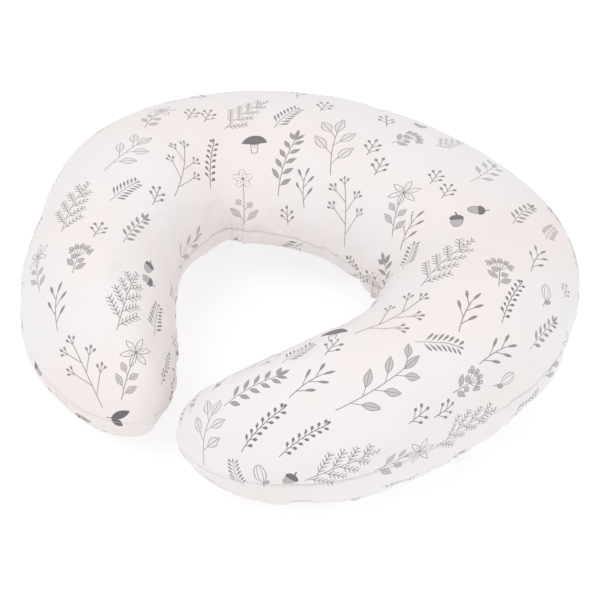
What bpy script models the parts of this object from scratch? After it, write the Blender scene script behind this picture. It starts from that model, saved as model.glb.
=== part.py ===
"""Nursing pillow: a stuffed C-shaped cushion in a zipped cover.

Frame: +Z up, resting on z = 0, the mouth of the C towards -Y, the back of the C towards +Y.
The origin is under the middle of the bounding box. The cover is two C-shaped panels sewn
together along the seam line, the widest line of the cushion, with a zip round the back.
"""

import math

import bmesh
import bpy
import numpy as np

# ---- Plan of the C: one half of the centreline, four arcs from the back to the tip ----
BACK_RADIUS = 0.263
BACK_ANGLE = math.radians(28.5)
SHOULDER_RADIUS = 0.121
SHOULDER_ANGLE = math.radians(60.5)
ARM_RADIUS = 0.251
ARM_ANGLE = math.radians(40.5)
TIP_RADIUS = 0.218
TIP_ANGLE = math.radians(37.5)
CAP_LENGTH = 0.1766

# ---- Cross-sections: half the width, and the height of the crown over the seam line ----
BACK_HALF_WIDTH = 0.1057
SHOULDER_HALF_WIDTH = 0.093
WAIST_HALF_WIDTH = 0.078
ARM_HALF_WIDTH = 0.0785
TIP_HALF_WIDTH = 0.079
BACK_CROWN = 0.067
SHOULDER_CROWN = 0.085
ARM_CROWN = 0.081
TIP_CROWN = 0.0855
SEAM_HEIGHT = 0.078
TIP_SEAM_HEIGHT = 0.068
UNDERSIDE_DEPTH = 0.0848
INNER_TUCK = 1.5
TIP_TUCK = 1.25

# ---- Fabric layers, as depths inside the outer surface of the cover ----
COVER_THICKNESS = 0.001
CASE_THICKNESS = 0.0008
ZIP_ROOM = 0.0013
LAYER_GAP = 0.0003
FILLING_GAP = 0.0007
SEAM_GAP = 0.0003
SEAM_GROOVE = 0.0016
CASE_GROOVE_SPARE = 0.0004
COVER_THREAD_RADIUS = 0.00045
CASE_THREAD_RADIUS = 0.0004

# ---- Zip, along the seam line round the back ----
ZIP_LENGTH = 0.300
ZIP_OPENING = 0.0072
TAPE_WIDTH = 0.0115
TAPE_THICKNESS = 0.0005
COIL_HEIGHT = 0.00225
COIL_THICKNESS = 0.0012
STOP_LENGTH = 0.003
BOTTOM_STOP_LENGTH = 0.004
STOP_THICKNESS = 0.0016
ZIP_END_TAPER = 0.004
TAPE_TAIL = 0.014
TOPSTITCH_INSET = 0.002
TOPSTITCH_RADIUS = 0.00035
STOP_BEVEL = 0.0002

# ---- Slider and pull tab ----
SLIDER_LENGTH = 0.009
SLIDER_NOSE = 0.0046
SLIDER_PLATE = 0.0009
SLIDER_FLANGE = 0.0006
FLANGE_SHARE = 0.62
FLANGE_SHIFT_SHARE = 0.1
TAIL_END_SHARE = 0.8
TAIL_START_SHARE = 0.6
SHOULDER_FOOT_SHARE = 0.1
SHOULDER_TOP_SHARE = 0.55
NOSE_END_SHARE = 0.55
BRIDGE_RADIUS = 0.0025
BRIDGE_WIRE = 0.0005
PIVOT_RISE = 0.001
PULL_LENGTH = 0.024
PULL_WIDTH = 0.006
PULL_THICKNESS = 0.001
PULL_NECK_SHARE = 0.85
PULL_NECK_END_SHARE = 0.35
PULL_BODY_START_SHARE = 0.6
PULL_WINDOW_LENGTH = 0.0034
PULL_WINDOW_WIDTH = 0.003
PULL_HOLE_RADIUS = 0.0014

# ---- Label and the hand-closed stretch of the inner case ----
LABEL_THICKNESS = 0.0004
CLOSING_LENGTH = 0.120
CLOSING_STITCHES = 24
CLOSING_STITCH_HEIGHT = 0.0015
CLOSING_STITCH_RISE = 0.00105

# ---- How finely the loft is divided ----
ZIP_STEPS = 6
SHOULDER_STEPS = 6
ARM_STEPS = 3
CAP_ANGLES = [math.radians(a) for a in (15, 30, 45, 58, 70, 80, 90)]
UPPER_ANGLES = [math.radians(a) for a in (28, 48, 69, 90, 111, 132, 152)]
LOWER_ANGLES = [math.radians(a) for a in (26, 48, 72, 108, 132, 154)]
BRIDGE_STEPS = 8
PULL_END_STEPS = 6
PULL_HOLE_SIDES = 12
EDGE_SAMPLES = 720
WELD = 1e-6
FINE_WELD = 1e-7

BACK_ARC = BACK_RADIUS * BACK_ANGLE
SHOULDER_ARC = SHOULDER_RADIUS * SHOULDER_ANGLE
ARM_ARC = ARM_RADIUS * ARM_ANGLE
TIP_ARC = TIP_RADIUS * TIP_ANGLE
HALF_LENGTH = BACK_ARC + SHOULDER_ARC + ARM_ARC + TIP_ARC
CAP_START = HALF_LENGTH - CAP_LENGTH
ARCS = (
    (BACK_RADIUS, BACK_ARC),
    (SHOULDER_RADIUS, SHOULDER_ARC),
    (ARM_RADIUS, ARM_ARC),
    (TIP_RADIUS, TIP_ARC),
)

OUTER_RADIUS = BACK_RADIUS + BACK_HALF_WIDTH
ZIP_HALF_ANGLE = ZIP_LENGTH / 2 / OUTER_RADIUS
TAPER_ANGLE = ZIP_END_TAPER / OUTER_RADIUS
TAIL_ANGLE = TAPE_TAIL / OUTER_RADIUS

CASE_DEPTH = COVER_THICKNESS + ZIP_ROOM
CASE_GROOVE = SEAM_GROOVE + CASE_GROOVE_SPARE
FILLING_DEPTH = CASE_DEPTH + CASE_THICKNESS + FILLING_GAP
TAPE_DEPTH = COVER_THICKNESS + LAYER_GAP
COIL_INNER_DEPTH = TAPE_DEPTH - LAYER_GAP
COIL_OUTER_DEPTH = COIL_INNER_DEPTH - COIL_THICKNESS


# ---------------------------------------------------------------- plan and sections


def plan_point(distance):
    """Place and heading of the centreline at a distance from the middle of the back.

    The heading turns clockwise from +X, so that the outward side is (sin, cos) of it.
    """
    x, y, heading = 0.0, BACK_RADIUS, 0.0
    left = abs(distance)
    for radius, length in ARCS:
        step = min(left, length)
        turned = heading + step / radius
        x += radius * (math.sin(turned) - math.sin(heading))
        y += radius * (math.cos(turned) - math.cos(heading))
        heading = turned
        left -= step
        if left <= 0:
            break
    if distance < 0:
        return -x, y, -heading
    return x, y, heading


def blend(knots, values, distance):
    """A value that eases from each knot to the next and is level at every knot."""
    if distance <= knots[0]:
        return values[0]
    for i in range(1, len(knots)):
        if distance < knots[i]:
            t = (distance - knots[i - 1]) / (knots[i] - knots[i - 1])
            t = t * t * (3 - 2 * t)
            return values[i - 1] + (values[i] - values[i - 1]) * t
    return values[-1]


def half_width(distance):
    rest = HALF_LENGTH - BACK_ARC
    knots = [BACK_ARC + rest * share for share in (0, 0.25, 0.5, 0.75, 1)]
    widths = (
        BACK_HALF_WIDTH,
        SHOULDER_HALF_WIDTH,
        WAIST_HALF_WIDTH,
        ARM_HALF_WIDTH,
        TIP_HALF_WIDTH,
    )
    return blend(knots, widths, distance)


def crown_height(distance):
    rest = HALF_LENGTH - BACK_ARC
    knots = [BACK_ARC + rest * share for share in (0, 1 / 3, 2 / 3, 1)]
    return blend(knots, (BACK_CROWN, SHOULDER_CROWN, ARM_CROWN, TIP_CROWN), distance)


def seam_height(distance):
    """Height of the seam line, which dips towards the tips."""
    return blend([CAP_START, HALF_LENGTH], (SEAM_HEIGHT, TIP_SEAM_HEIGHT), distance)


def tuck_power(distance, inner, below):
    """The power that tucks the underside in, at an angle below the nearer seam.

    It starts under the hem. The outer side is only tucked in towards the tips.
    """
    if inner:
        knots = [(BACK_ARC + HALF_LENGTH) / 2, HALF_LENGTH]
        most = blend(knots, (INNER_TUCK, TIP_TUCK), distance)
    else:
        most = blend([CAP_START, HALF_LENGTH], (1.0, TIP_TUCK), distance)
    down = blend([tape_angle(-1), LOWER_ANGLES[0]], (0.0, 1.0), below)
    return 1 + (most - 1) * down


def stations():
    """(distance, cap angle) of every section of one half, from the middle to the tip."""
    zip_half = ZIP_HALF_ANGLE * BACK_RADIUS
    found = [(zip_half * i / ZIP_STEPS, 0.0) for i in range(ZIP_STEPS + 1)]
    found.append((zip_half + TAPER_ANGLE * BACK_RADIUS, 0.0))
    found.append((zip_half + TAIL_ANGLE * BACK_RADIUS, 0.0))
    found.append((BACK_ARC, 0.0))
    for i in range(SHOULDER_STEPS):
        found.append((BACK_ARC + SHOULDER_ARC * (i + 1) / SHOULDER_STEPS, 0.0))
    arm_start = BACK_ARC + SHOULDER_ARC
    for i in range(ARM_STEPS):
        found.append((arm_start + (CAP_START - arm_start) * (i + 1) / ARM_STEPS, 0.0))
    found += [(CAP_START, angle) for angle in CAP_ANGLES]
    return found


def whole_row(half):
    """Both halves of the C, from the left tip to the right tip."""
    left = [(-distance, cap) for distance, cap in half[:0:-1]]
    return left + half


HALF_ROW = stations()
ROW = whole_row(HALF_ROW)
ZIP_ROW = whole_row(HALF_ROW[: ZIP_STEPS + 1])
TAPE_END = (HALF_ROW[ZIP_STEPS + 2][0] - LAYER_GAP, 0.0)
TAPE_ROW = whole_row(HALF_ROW[: ZIP_STEPS + 2] + [TAPE_END])


def zip_share(distance):
    """1 along the zip, where the cover is open, and 0 beyond it."""
    return 1.0 if abs(distance) <= ZIP_HALF_ANGLE * BACK_RADIUS + FINE_WELD else 0.0


def cover_groove(distance):
    """How far the cover's seam is pulled in: not at all along the zip and its tape."""
    tail_end = (ZIP_HALF_ANGLE + TAIL_ANGLE) * BACK_RADIUS
    return 0.0 if abs(distance) <= tail_end + FINE_WELD else SEAM_GROOVE


def surface_point(station, across, rise, depth):
    """A point of a nested layer.

    across is -1 at the inner edge of the C and 1 at the outer edge, rise is -1 at the
    underside and 1 at the crown, and depth is how far the layer lies inside the cover.
    """
    distance, cap = station
    reach = (CAP_LENGTH - depth) * math.sin(cap)
    along = math.copysign(abs(distance) + reach, distance)
    x, y, heading = plan_point(along)
    if rise < 0:
        tuck = tuck_power(abs(along), across < 0, math.asin(-rise))
        across, rise = math.copysign(abs(across) ** tuck, across), -((-rise) ** tuck)
    shrink = math.cos(cap) if cap < math.pi / 2 else 0.0
    radial = (half_width(abs(along)) - depth) * shrink * across
    if rise >= 0:
        height = (crown_height(abs(along)) - depth) * shrink * rise
    else:
        height = (UNDERSIDE_DEPTH - depth) * shrink * rise
    px = x + math.sin(heading) * radial
    py = y + math.cos(heading) * radial
    return [px, py, seam_height(abs(along)) + height]


def tape_angle(side):
    """The angle of a ring's first point, level with the far edge of the zip tape."""
    height = BACK_CROWN if side > 0 else UNDERSIDE_DEPTH
    return math.asin(TAPE_WIDTH / height)


def edge_point(station, outer, side, depth, groove, lift):
    """A point of a panel's edge, which side 1 lifts over the seam line and -1 lowers.

    It stays on the straight line from the seam line to the ring's first point.
    """
    lean = (1 - math.cos(tape_angle(side))) * lift / TAPE_WIDTH
    across = 1 - lean if outer else lean - 1
    point = surface_point(station, across, 0, depth + groove)
    point[2] += side * lift
    return point


def ring_angles(side):
    """Angles of a panel's ring between its two edges. The lower ring keeps a flat base."""
    first = tape_angle(side)
    middle = UPPER_ANGLES if side > 0 else LOWER_ANGLES
    return [first] + middle + [math.pi - first]


def ring(station, side, depth, groove, outer_lift, inner_lift=SEAM_GAP / 2):
    """The points of one panel's section, from its outer edge over to its inner edge.

    At the very tip the whole section is one point, where the seam goes round.
    """
    points = [edge_point(station, True, side, depth, groove, outer_lift)]
    if station[1] >= math.pi / 2:
        return points * (len(ring_angles(side)) + 2)
    for angle in ring_angles(side):
        point = surface_point(station, math.cos(angle), side * math.sin(angle), depth)
        point[2] = max(point[2], depth)
        points.append(point)
    points.append(edge_point(station, False, side, depth, groove, inner_lift))
    return points


def middle_shift():
    """How far the middle of the C's plan lies from its arc centre along Y."""
    edge = []
    for step in range(EDGE_SAMPLES + 1):
        cap = math.pi / 2 * step / EDGE_SAMPLES
        for across in (-1, 1):
            edge.append(surface_point((CAP_START, cap), across, 0, 0)[1])
    return (OUTER_RADIUS + min(edge)) / 2


MIDDLE_Y = middle_shift()
ARC_CENTRE_Y = -MIDDLE_Y


def placed(point):
    return (point[0], point[1] - MIDDLE_Y, point[2])


def on_arc(angle, depth, height):
    """A point round the back: angle from +Y towards +X, depth inside the cover."""
    radius = OUTER_RADIUS - depth
    x = radius * math.sin(angle)
    y = ARC_CENTRE_Y + radius * math.cos(angle)
    return (x, y, SEAM_HEIGHT + height)


# ---------------------------------------------------------------- Blender helpers


def clear_scene():
    for obj in list(bpy.data.objects):
        bpy.data.objects.remove(obj, do_unlink=True)


def make_collection(name):
    collection = bpy.data.collections.new(name)
    bpy.context.scene.collection.children.link(collection)
    return collection


def make_material(name, colour, roughness, metallic=0.0):
    material = bpy.data.materials.new(name)
    material.use_nodes = True
    shader = material.node_tree.nodes["Principled BSDF"]
    shader.inputs["Base Color"].default_value = (*colour, 1.0)
    shader.inputs["Roughness"].default_value = roughness
    shader.inputs["Metallic"].default_value = metallic
    return material


def add_object(name, data, material, collection):
    obj = bpy.data.objects.new(name, data)
    obj.data.materials.append(material)
    collection.objects.link(obj)
    return obj


def mesh_from_grids(name, grids):
    """A surface through grids of points. What meets in a point or an edge is merged there."""
    bm = bmesh.new()
    for rows in grids:
        grid = [[bm.verts.new(placed(point)) for point in row] for row in rows]
        for first, second in zip(grid, grid[1:]):
            for j in range(len(first) - 1):
                bm.faces.new((first[j], second[j], second[j + 1], first[j + 1]))
    bmesh.ops.remove_doubles(bm, verts=bm.verts, dist=WELD)
    bmesh.ops.recalc_face_normals(bm, faces=bm.faces)
    mesh = bpy.data.meshes.new(name)
    bm.to_mesh(mesh)
    bm.free()
    mesh.shade_smooth()
    return mesh


def add_sheet(name, rows, thickness, material, collection):
    """A layer of fabric: the rows give its outer face and Solidify its thickness inwards."""
    mesh = mesh_from_grids(name, [rows])
    middle = mesh.polygons[len(mesh.polygons) // 2]
    outward = middle.center - outward_origin(middle.center)
    if middle.normal.dot(outward) < 0:
        mesh.flip_normals()
    obj = add_object(name, mesh, material, collection)
    wall = obj.modifiers.new("Fabric thickness", "SOLIDIFY")
    wall.thickness = thickness
    wall.offset = -1.0
    wall.use_even_offset = True
    return obj


def outward_origin(point):
    """The middle of the filling next to a point round the back of the C."""
    sideways = point.copy()
    sideways.y -= ARC_CENTRE_Y
    sideways.z = 0.0
    inside = sideways.normalized() * BACK_RADIUS
    inside.y += ARC_CENTRE_Y
    inside.z = SEAM_HEIGHT
    return inside


def add_thread(name, points, radius, material, collection):
    """A round thread through the points, with closed ends."""
    curve = bpy.data.curves.new(name, "CURVE")
    curve.dimensions = "3D"
    curve.bevel_depth = radius
    curve.bevel_resolution = 1
    curve.use_fill_caps = True
    spline = curve.splines.new("POLY")
    spline.points.add(len(points) - 1)
    for target, point in zip(spline.points, points):
        target.co = (*point, 1.0)
    return add_object(name, curve, material, collection)


def add_block(name, size, material, collection):
    """A block about its own origin, with its scale applied."""
    mesh = bpy.data.meshes.new(name)
    bm = bmesh.new()
    bmesh.ops.create_cube(bm, size=1.0)
    bmesh.ops.scale(bm, vec=size, verts=bm.verts)
    bm.to_mesh(mesh)
    bm.free()
    return add_object(name, mesh, material, collection)


def stand_on_arc(obj, angle, depth, height=0.0):
    """Places an object round the back, its own +Y pointing outwards and +Z up."""
    obj.location = on_arc(angle, depth, height)
    obj.rotation_euler = (0.0, 0.0, -angle)


# ---------------------------------------------------------------- cover and inner case


def add_cover_panel(name, side, material, collection):
    rows = []
    for station in ROW:
        distance = abs(station[0])
        open_here = zip_share(distance)
        lift = ZIP_OPENING / 2 * open_here + SEAM_GAP / 2 * (1 - open_here)
        rows.append(ring(station, side, 0.0, cover_groove(distance), lift))
    return add_sheet(name, rows, COVER_THICKNESS, material, collection)


def add_case_panel(name, side, material, collection):
    rows = [ring(s, side, CASE_DEPTH, CASE_GROOVE, SEAM_GAP / 2) for s in ROW]
    return add_sheet(name, rows, CASE_THICKNESS, material, collection)


def thread_offset(radius):
    return -(LAYER_GAP + radius)


def seam_loop(outer_stations, tip_stations, depth, groove_of):
    """The seam line from one end of an open stretch at the back, round both tips, to the other."""
    right = [s for s in outer_stations if s[0] > 0]
    left = [(-distance, cap) for distance, cap in right]
    inner = whole_row(tip_stations)
    loop = [seam_point(s, 1, depth, groove_of) for s in right[:-1]]
    loop += [seam_point(s, -1, depth, groove_of) for s in inner[::-1]]
    loop += [seam_point(s, 1, depth, groove_of) for s in left[-2::-1]]
    return [placed(point) for point in loop]


def seam_point(station, across, depth, groove_of):
    return surface_point(station, across, 0, depth + groove_of(abs(station[0])))


def add_cover_thread(material, collection):
    outer = HALF_ROW[ZIP_STEPS + 3 :]
    depth = thread_offset(COVER_THREAD_RADIUS)
    points = seam_loop(outer, HALF_ROW, depth, cover_groove)
    return add_thread(
        "cover_seam_thread", points, COVER_THREAD_RADIUS, material, collection
    )


def add_case_thread(material, collection):
    closing_half = CLOSING_LENGTH / 2 / OUTER_RADIUS * BACK_RADIUS
    outer = [s for s in HALF_ROW if s[0] > closing_half]
    depth = CASE_DEPTH + thread_offset(CASE_THREAD_RADIUS)
    points = seam_loop(outer, HALF_ROW, depth, lambda distance: CASE_GROOVE)
    return add_thread(
        "inner_case_seam_thread", points, CASE_THREAD_RADIUS, material, collection
    )


def add_closing_stitches(material, collection):
    """A ladder of hand stitches over the stretch where the inner case was filled."""
    depth = CASE_DEPTH + CASE_GROOVE - CLOSING_STITCH_RISE
    half_angle = CLOSING_LENGTH / 2 / OUTER_RADIUS
    points = []
    for i in range(CLOSING_STITCHES + 1):
        angle = half_angle * (2 * i / CLOSING_STITCHES - 1)
        height = CLOSING_STITCH_HEIGHT * (1 if i % 2 else -1)
        points.append(on_arc(angle, depth, height))
    return add_thread(
        "inner_case_closing_stitches",
        points,
        CASE_THREAD_RADIUS,
        material,
        collection,
    )


def add_filling(material, collection):
    """The stuffing: one closed body inside the inner case."""
    halves = [
        [ring(s, side, FILLING_DEPTH, CASE_GROOVE, 0.0, 0.0) for s in ROW]
        for side in (1, -1)
    ]
    mesh = mesh_from_grids("fibre_filling", halves)
    return add_object("fibre_filling", mesh, material, collection)


def add_care_label(material, collection):
    """A blank label sewn into the seam inside the cover, hanging behind the lower panel."""
    depth = COVER_THICKNESS + LAYER_GAP
    below_thread = 2 * CASE_THREAD_RADIUS + LAYER_GAP
    rows = []
    for station in (HALF_ROW[ZIP_STEPS + 3], HALF_ROW[ZIP_STEPS + 2]):
        mirrored = (-station[0], station[1])
        groove = cover_groove(station[0])
        rows.append(ring(mirrored, -1, depth, groove, below_thread)[:3])
    return add_sheet("care_label", rows, LABEL_THICKNESS, material, collection)


# ---------------------------------------------------------------- zip


def add_zip_tape(name, side, material, collection):
    rows = []
    for station in TAPE_ROW:
        rows.append(ring(station, side, TAPE_DEPTH, 0.0, SEAM_GAP)[:2])
    return add_sheet(name, rows, TAPE_THICKNESS, material, collection)


def coil_half_angle():
    return ZIP_HALF_ANGLE - TAPER_ANGLE


def add_zip_coil(name, side, material, collection):
    """One side of the zip's coil, as the bar that its turns fill."""
    rows = []
    for i in range(2 * ZIP_STEPS + 1):
        angle = coil_half_angle() * (i / ZIP_STEPS - 1)
        low = on_arc(angle, COIL_OUTER_DEPTH, side * SEAM_GAP / 2)
        high = on_arc(angle, COIL_OUTER_DEPTH, side * (SEAM_GAP / 2 + COIL_HEIGHT))
        rows.append([unplaced(low), unplaced(high)])
    return add_sheet(name, rows, COIL_THICKNESS, material, collection)


def unplaced(point):
    return [point[0], point[1] + MIDDLE_Y, point[2]]


def add_zip_stop(name, angle, size, height, material, collection):
    obj = add_block(name, size, material, collection)
    depth = COIL_INNER_DEPTH - STOP_THICKNESS / 2
    stand_on_arc(obj, angle, depth, height)
    bevel = obj.modifiers.new("Soft edges", "BEVEL")
    bevel.width = STOP_BEVEL
    bevel.segments = 1
    return obj


def add_zip_stops(material, collection):
    end = coil_half_angle()
    tooth = (STOP_LENGTH, STOP_THICKNESS, COIL_HEIGHT)
    height = SEAM_GAP / 2 + COIL_HEIGHT / 2
    top_angle = end + (LAYER_GAP + STOP_LENGTH / 2) / OUTER_RADIUS
    add_zip_stop("zip_top_stop_upper", top_angle, tooth, height, material, collection)
    add_zip_stop("zip_top_stop_lower", top_angle, tooth, -height, material, collection)
    bar = (BOTTOM_STOP_LENGTH, STOP_THICKNESS, 2 * COIL_HEIGHT + SEAM_GAP)
    bottom_angle = -end - (LAYER_GAP + BOTTOM_STOP_LENGTH / 2) / OUTER_RADIUS
    add_zip_stop("zip_bottom_stop", bottom_angle, bar, 0.0, material, collection)


def add_topstitch(name, side, material, collection):
    """A row of stitching that holds the zip tape to the panel's folded edge."""
    fold_height = ZIP_OPENING / 2
    share = TOPSTITCH_INSET / (TAPE_WIDTH - fold_height)
    points = []
    for station in ZIP_ROW:
        outside = -(LAYER_GAP + TOPSTITCH_RADIUS)
        fold = edge_point(station, True, side, outside, 0.0, fold_height)
        far = ring(station, side, outside, 0.0, 0.0)[1]
        point = [a + (b - a) * share for a, b in zip(fold, far)]
        points.append(placed(point))
    return add_thread(name, points, TOPSTITCH_RADIUS, material, collection)


def slider_underside():
    """Height of the slider's underside outside the cover's outer surface."""
    return LAYER_GAP - COIL_OUTER_DEPTH


def slider_outline():
    """Outline of the slider's plate: broad shoulders at the nose, narrower at the tail."""
    inside = COIL_HEIGHT + SEAM_GAP / 2 + LAYER_GAP
    tail = inside + SLIDER_FLANGE
    half = SLIDER_LENGTH / 2
    upper = [
        (half, SLIDER_NOSE * NOSE_END_SHARE),
        (half * SHOULDER_TOP_SHARE, SLIDER_NOSE),
        (half * SHOULDER_FOOT_SHARE, tail),
        (-half * TAIL_START_SHARE, tail),
        (-half, tail * TAIL_END_SHARE),
    ]
    return [(x, -z) for x, z in reversed(upper)] + upper


def filled_outline(name, outlines, thickness, material, collection):
    """A flat plate between outlines of (x, z) points, its thickness along its own Y."""
    curve = bpy.data.curves.new(name, "CURVE")
    curve.dimensions = "2D"
    curve.fill_mode = "BOTH"
    curve.extrude = thickness / 2
    for outline in outlines:
        spline = curve.splines.new("POLY")
        spline.points.add(len(outline) - 1)
        spline.use_cyclic_u = True
        for target, (x, z) in zip(spline.points, outline):
            target.co = (x, z, 0.0, 1.0)
    guide = bpy.data.objects.new(name, curve)
    collection.objects.link(guide)
    bpy.context.view_layer.update()
    graph = bpy.context.evaluated_depsgraph_get()
    mesh = bpy.data.meshes.new_from_object(guide.evaluated_get(graph))
    bpy.data.objects.remove(guide, do_unlink=True)
    bm = bmesh.new()
    bm.from_mesh(mesh)
    bmesh.ops.remove_doubles(bm, verts=bm.verts, dist=FINE_WELD)
    upright = np.array([[1, 0, 0], [0, 0, -1], [0, 1, 0]], dtype=float)
    for vert in bm.verts:
        vert.co = upright @ np.array(vert.co)
    bmesh.ops.recalc_face_normals(bm, faces=bm.faces)
    bm.to_mesh(mesh)
    bm.free()
    mesh.name = name
    mesh.materials.clear()
    return add_object(name, mesh, material, collection)


def mesh_of_curve(curve_object, collection):
    """The curve object's evaluated shape as a closed mesh object of the same name."""
    bpy.context.view_layer.update()
    graph = bpy.context.evaluated_depsgraph_get()
    mesh = bpy.data.meshes.new_from_object(curve_object.evaluated_get(graph))
    bm = bmesh.new()
    bm.from_mesh(mesh)
    bmesh.ops.remove_doubles(bm, verts=bm.verts, dist=FINE_WELD)
    bm.to_mesh(mesh)
    bm.free()
    name = curve_object.name
    placing = curve_object.matrix_world.copy()
    bpy.data.objects.remove(curve_object, do_unlink=True)
    obj = bpy.data.objects.new(name, mesh)
    obj.matrix_world = placing
    collection.objects.link(obj)
    return obj


def join_to(obj, helper):
    helper.hide_render = True
    helper.display_type = "WIRE"
    helper.parent = obj
    union = obj.modifiers.new("Join " + helper.name, "BOOLEAN")
    union.operation = "UNION"
    union.solver = "EXACT"
    union.object = helper


def slider_angle():
    """Where the slider rests on the closed zip, against the top stops."""
    return coil_half_angle() - SLIDER_LENGTH / 2 / OUTER_RADIUS


def add_slider(material, collection, helpers):
    """A channel over the closed coil: plate, two flanges and the bridge for the pull."""
    bottom = slider_underside()
    plate = filled_outline(
        "zip_slider", [slider_outline()], SLIDER_PLATE, material, collection
    )
    stand_on_arc(plate, slider_angle(), -(bottom + SLIDER_PLATE / 2))
    inside = COIL_HEIGHT + SEAM_GAP / 2 + LAYER_GAP
    flange_foot = TAPE_DEPTH - LAYER_GAP
    flange_height = bottom + flange_foot + SLIDER_PLATE / 2
    for side in (-1, 1):
        size = (SLIDER_LENGTH * FLANGE_SHARE, flange_height, SLIDER_FLANGE)
        flange = add_block("slider_flange", size, material, helpers)
        flange.location = (
            -SLIDER_LENGTH * FLANGE_SHIFT_SHARE,
            -flange_height / 2,
            side * (inside + SLIDER_FLANGE / 2),
        )
        join_to(plate, flange)
    arch = []
    for i in range(BRIDGE_STEPS + 1):
        angle = math.pi * i / BRIDGE_STEPS
        arch.append((-math.cos(angle) * BRIDGE_RADIUS, math.sin(angle) * BRIDGE_RADIUS))
    leg = SLIDER_PLATE / 2
    path = [(-BRIDGE_RADIUS, -leg)] + arch + [(BRIDGE_RADIUS, -leg)]
    points = [(x, SLIDER_PLATE / 2 + y, 0.0) for x, y in path]
    bridge = add_thread("slider_bridge", points, BRIDGE_WIRE, material, helpers)
    join_to(plate, mesh_of_curve(bridge, helpers))
    return plate


def pivot_height():
    """Height of the pull's pivot outside the cover's outer surface."""
    return slider_underside() + SLIDER_PLATE + PIVOT_RISE


def circle(centre_x, radius, count):
    turns = [2 * math.pi * i / count for i in range(count)]
    return [(centre_x + radius * math.cos(t), radius * math.sin(t)) for t in turns]


def pull_outline():
    """Outline of the pull tab from its bar at the pivot to its rounded end, along -X."""
    bar = PULL_THICKNESS / 2
    half = PULL_WIDTH / 2
    neck = half * PULL_NECK_SHARE
    side = [
        (bar, neck),
        (-PULL_LENGTH * PULL_NECK_END_SHARE, neck),
        (-PULL_LENGTH * PULL_BODY_START_SHARE, half),
    ]
    centre = -(PULL_LENGTH - half)
    turns = [math.pi / 2 + math.pi * i / PULL_END_STEPS for i in range(PULL_END_STEPS + 1)]
    rounded = [(centre + half * math.cos(t), half * math.sin(t)) for t in turns]
    return side + rounded + [(x, -z) for x, z in reversed(side)]


def add_pull_tab(material, collection):
    """The pull lies flat along the zip and swings on its end bar, under the bridge."""
    bar = PULL_THICKNESS / 2
    near = -bar
    far = -bar - PULL_WINDOW_LENGTH
    side = PULL_WINDOW_WIDTH / 2
    window = [(near, -side), (near, side), (far, side), (far, -side)]
    hole = circle(PULL_WIDTH / 2 - PULL_LENGTH, PULL_HOLE_RADIUS, PULL_HOLE_SIDES)
    tab = filled_outline(
        "zip_pull_tab",
        [pull_outline(), window, hole],
        PULL_THICKNESS,
        material,
        collection,
    )
    stand_on_arc(tab, slider_angle(), -pivot_height())
    return tab


# ---------------------------------------------------------------- the pillow


def build():
    clear_scene()
    parts = make_collection("nursing_pillow")
    helpers = make_collection("cutters")
    cotton = make_material("Cover cotton", (0.80, 0.76, 0.74), 0.85)
    lawn = make_material("Inner case lawn", (0.88, 0.88, 0.87), 0.9)
    thread = make_material("Sewing thread", (0.82, 0.79, 0.77), 0.7)
    tape = make_material("Zip tape", (0.84, 0.82, 0.80), 0.85)
    nylon = make_material("Zip coil nylon", (0.86, 0.85, 0.83), 0.45)
    nickel = make_material("Nickel", (0.72, 0.71, 0.69), 0.3, 1.0)
    satin = make_material("Label satin", (0.92, 0.92, 0.91), 0.5)
    fibre = make_material("Polyester fibre", (0.95, 0.95, 0.95), 0.95)

    add_cover_panel("cover_top_panel", 1, cotton, parts)
    add_cover_panel("cover_bottom_panel", -1, cotton, parts)
    add_cover_thread(thread, parts)
    add_zip_tape("zip_tape_upper", 1, tape, parts)
    add_zip_tape("zip_tape_lower", -1, tape, parts)
    add_zip_coil("zip_coil_upper", 1, nylon, parts)
    add_zip_coil("zip_coil_lower", -1, nylon, parts)
    add_zip_stops(nickel, parts)
    add_topstitch("zip_topstitch_upper", 1, thread, parts)
    add_topstitch("zip_topstitch_lower", -1, thread, parts)
    add_slider(nickel, parts, helpers)
    add_pull_tab(nickel, parts)
    add_case_panel("inner_case_top_panel", 1, lawn, parts)
    add_case_panel("inner_case_bottom_panel", -1, lawn, parts)
    add_case_thread(thread, parts)
    add_closing_stitches(thread, parts)
    add_filling(fibre, parts)
    add_care_label(satin, parts)


build()
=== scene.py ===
"""Nursing pillow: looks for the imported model. Lengths are metres unless stated."""

import math

import bmesh
import bpy
import numpy as np
from mathutils import Matrix, Vector


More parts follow.
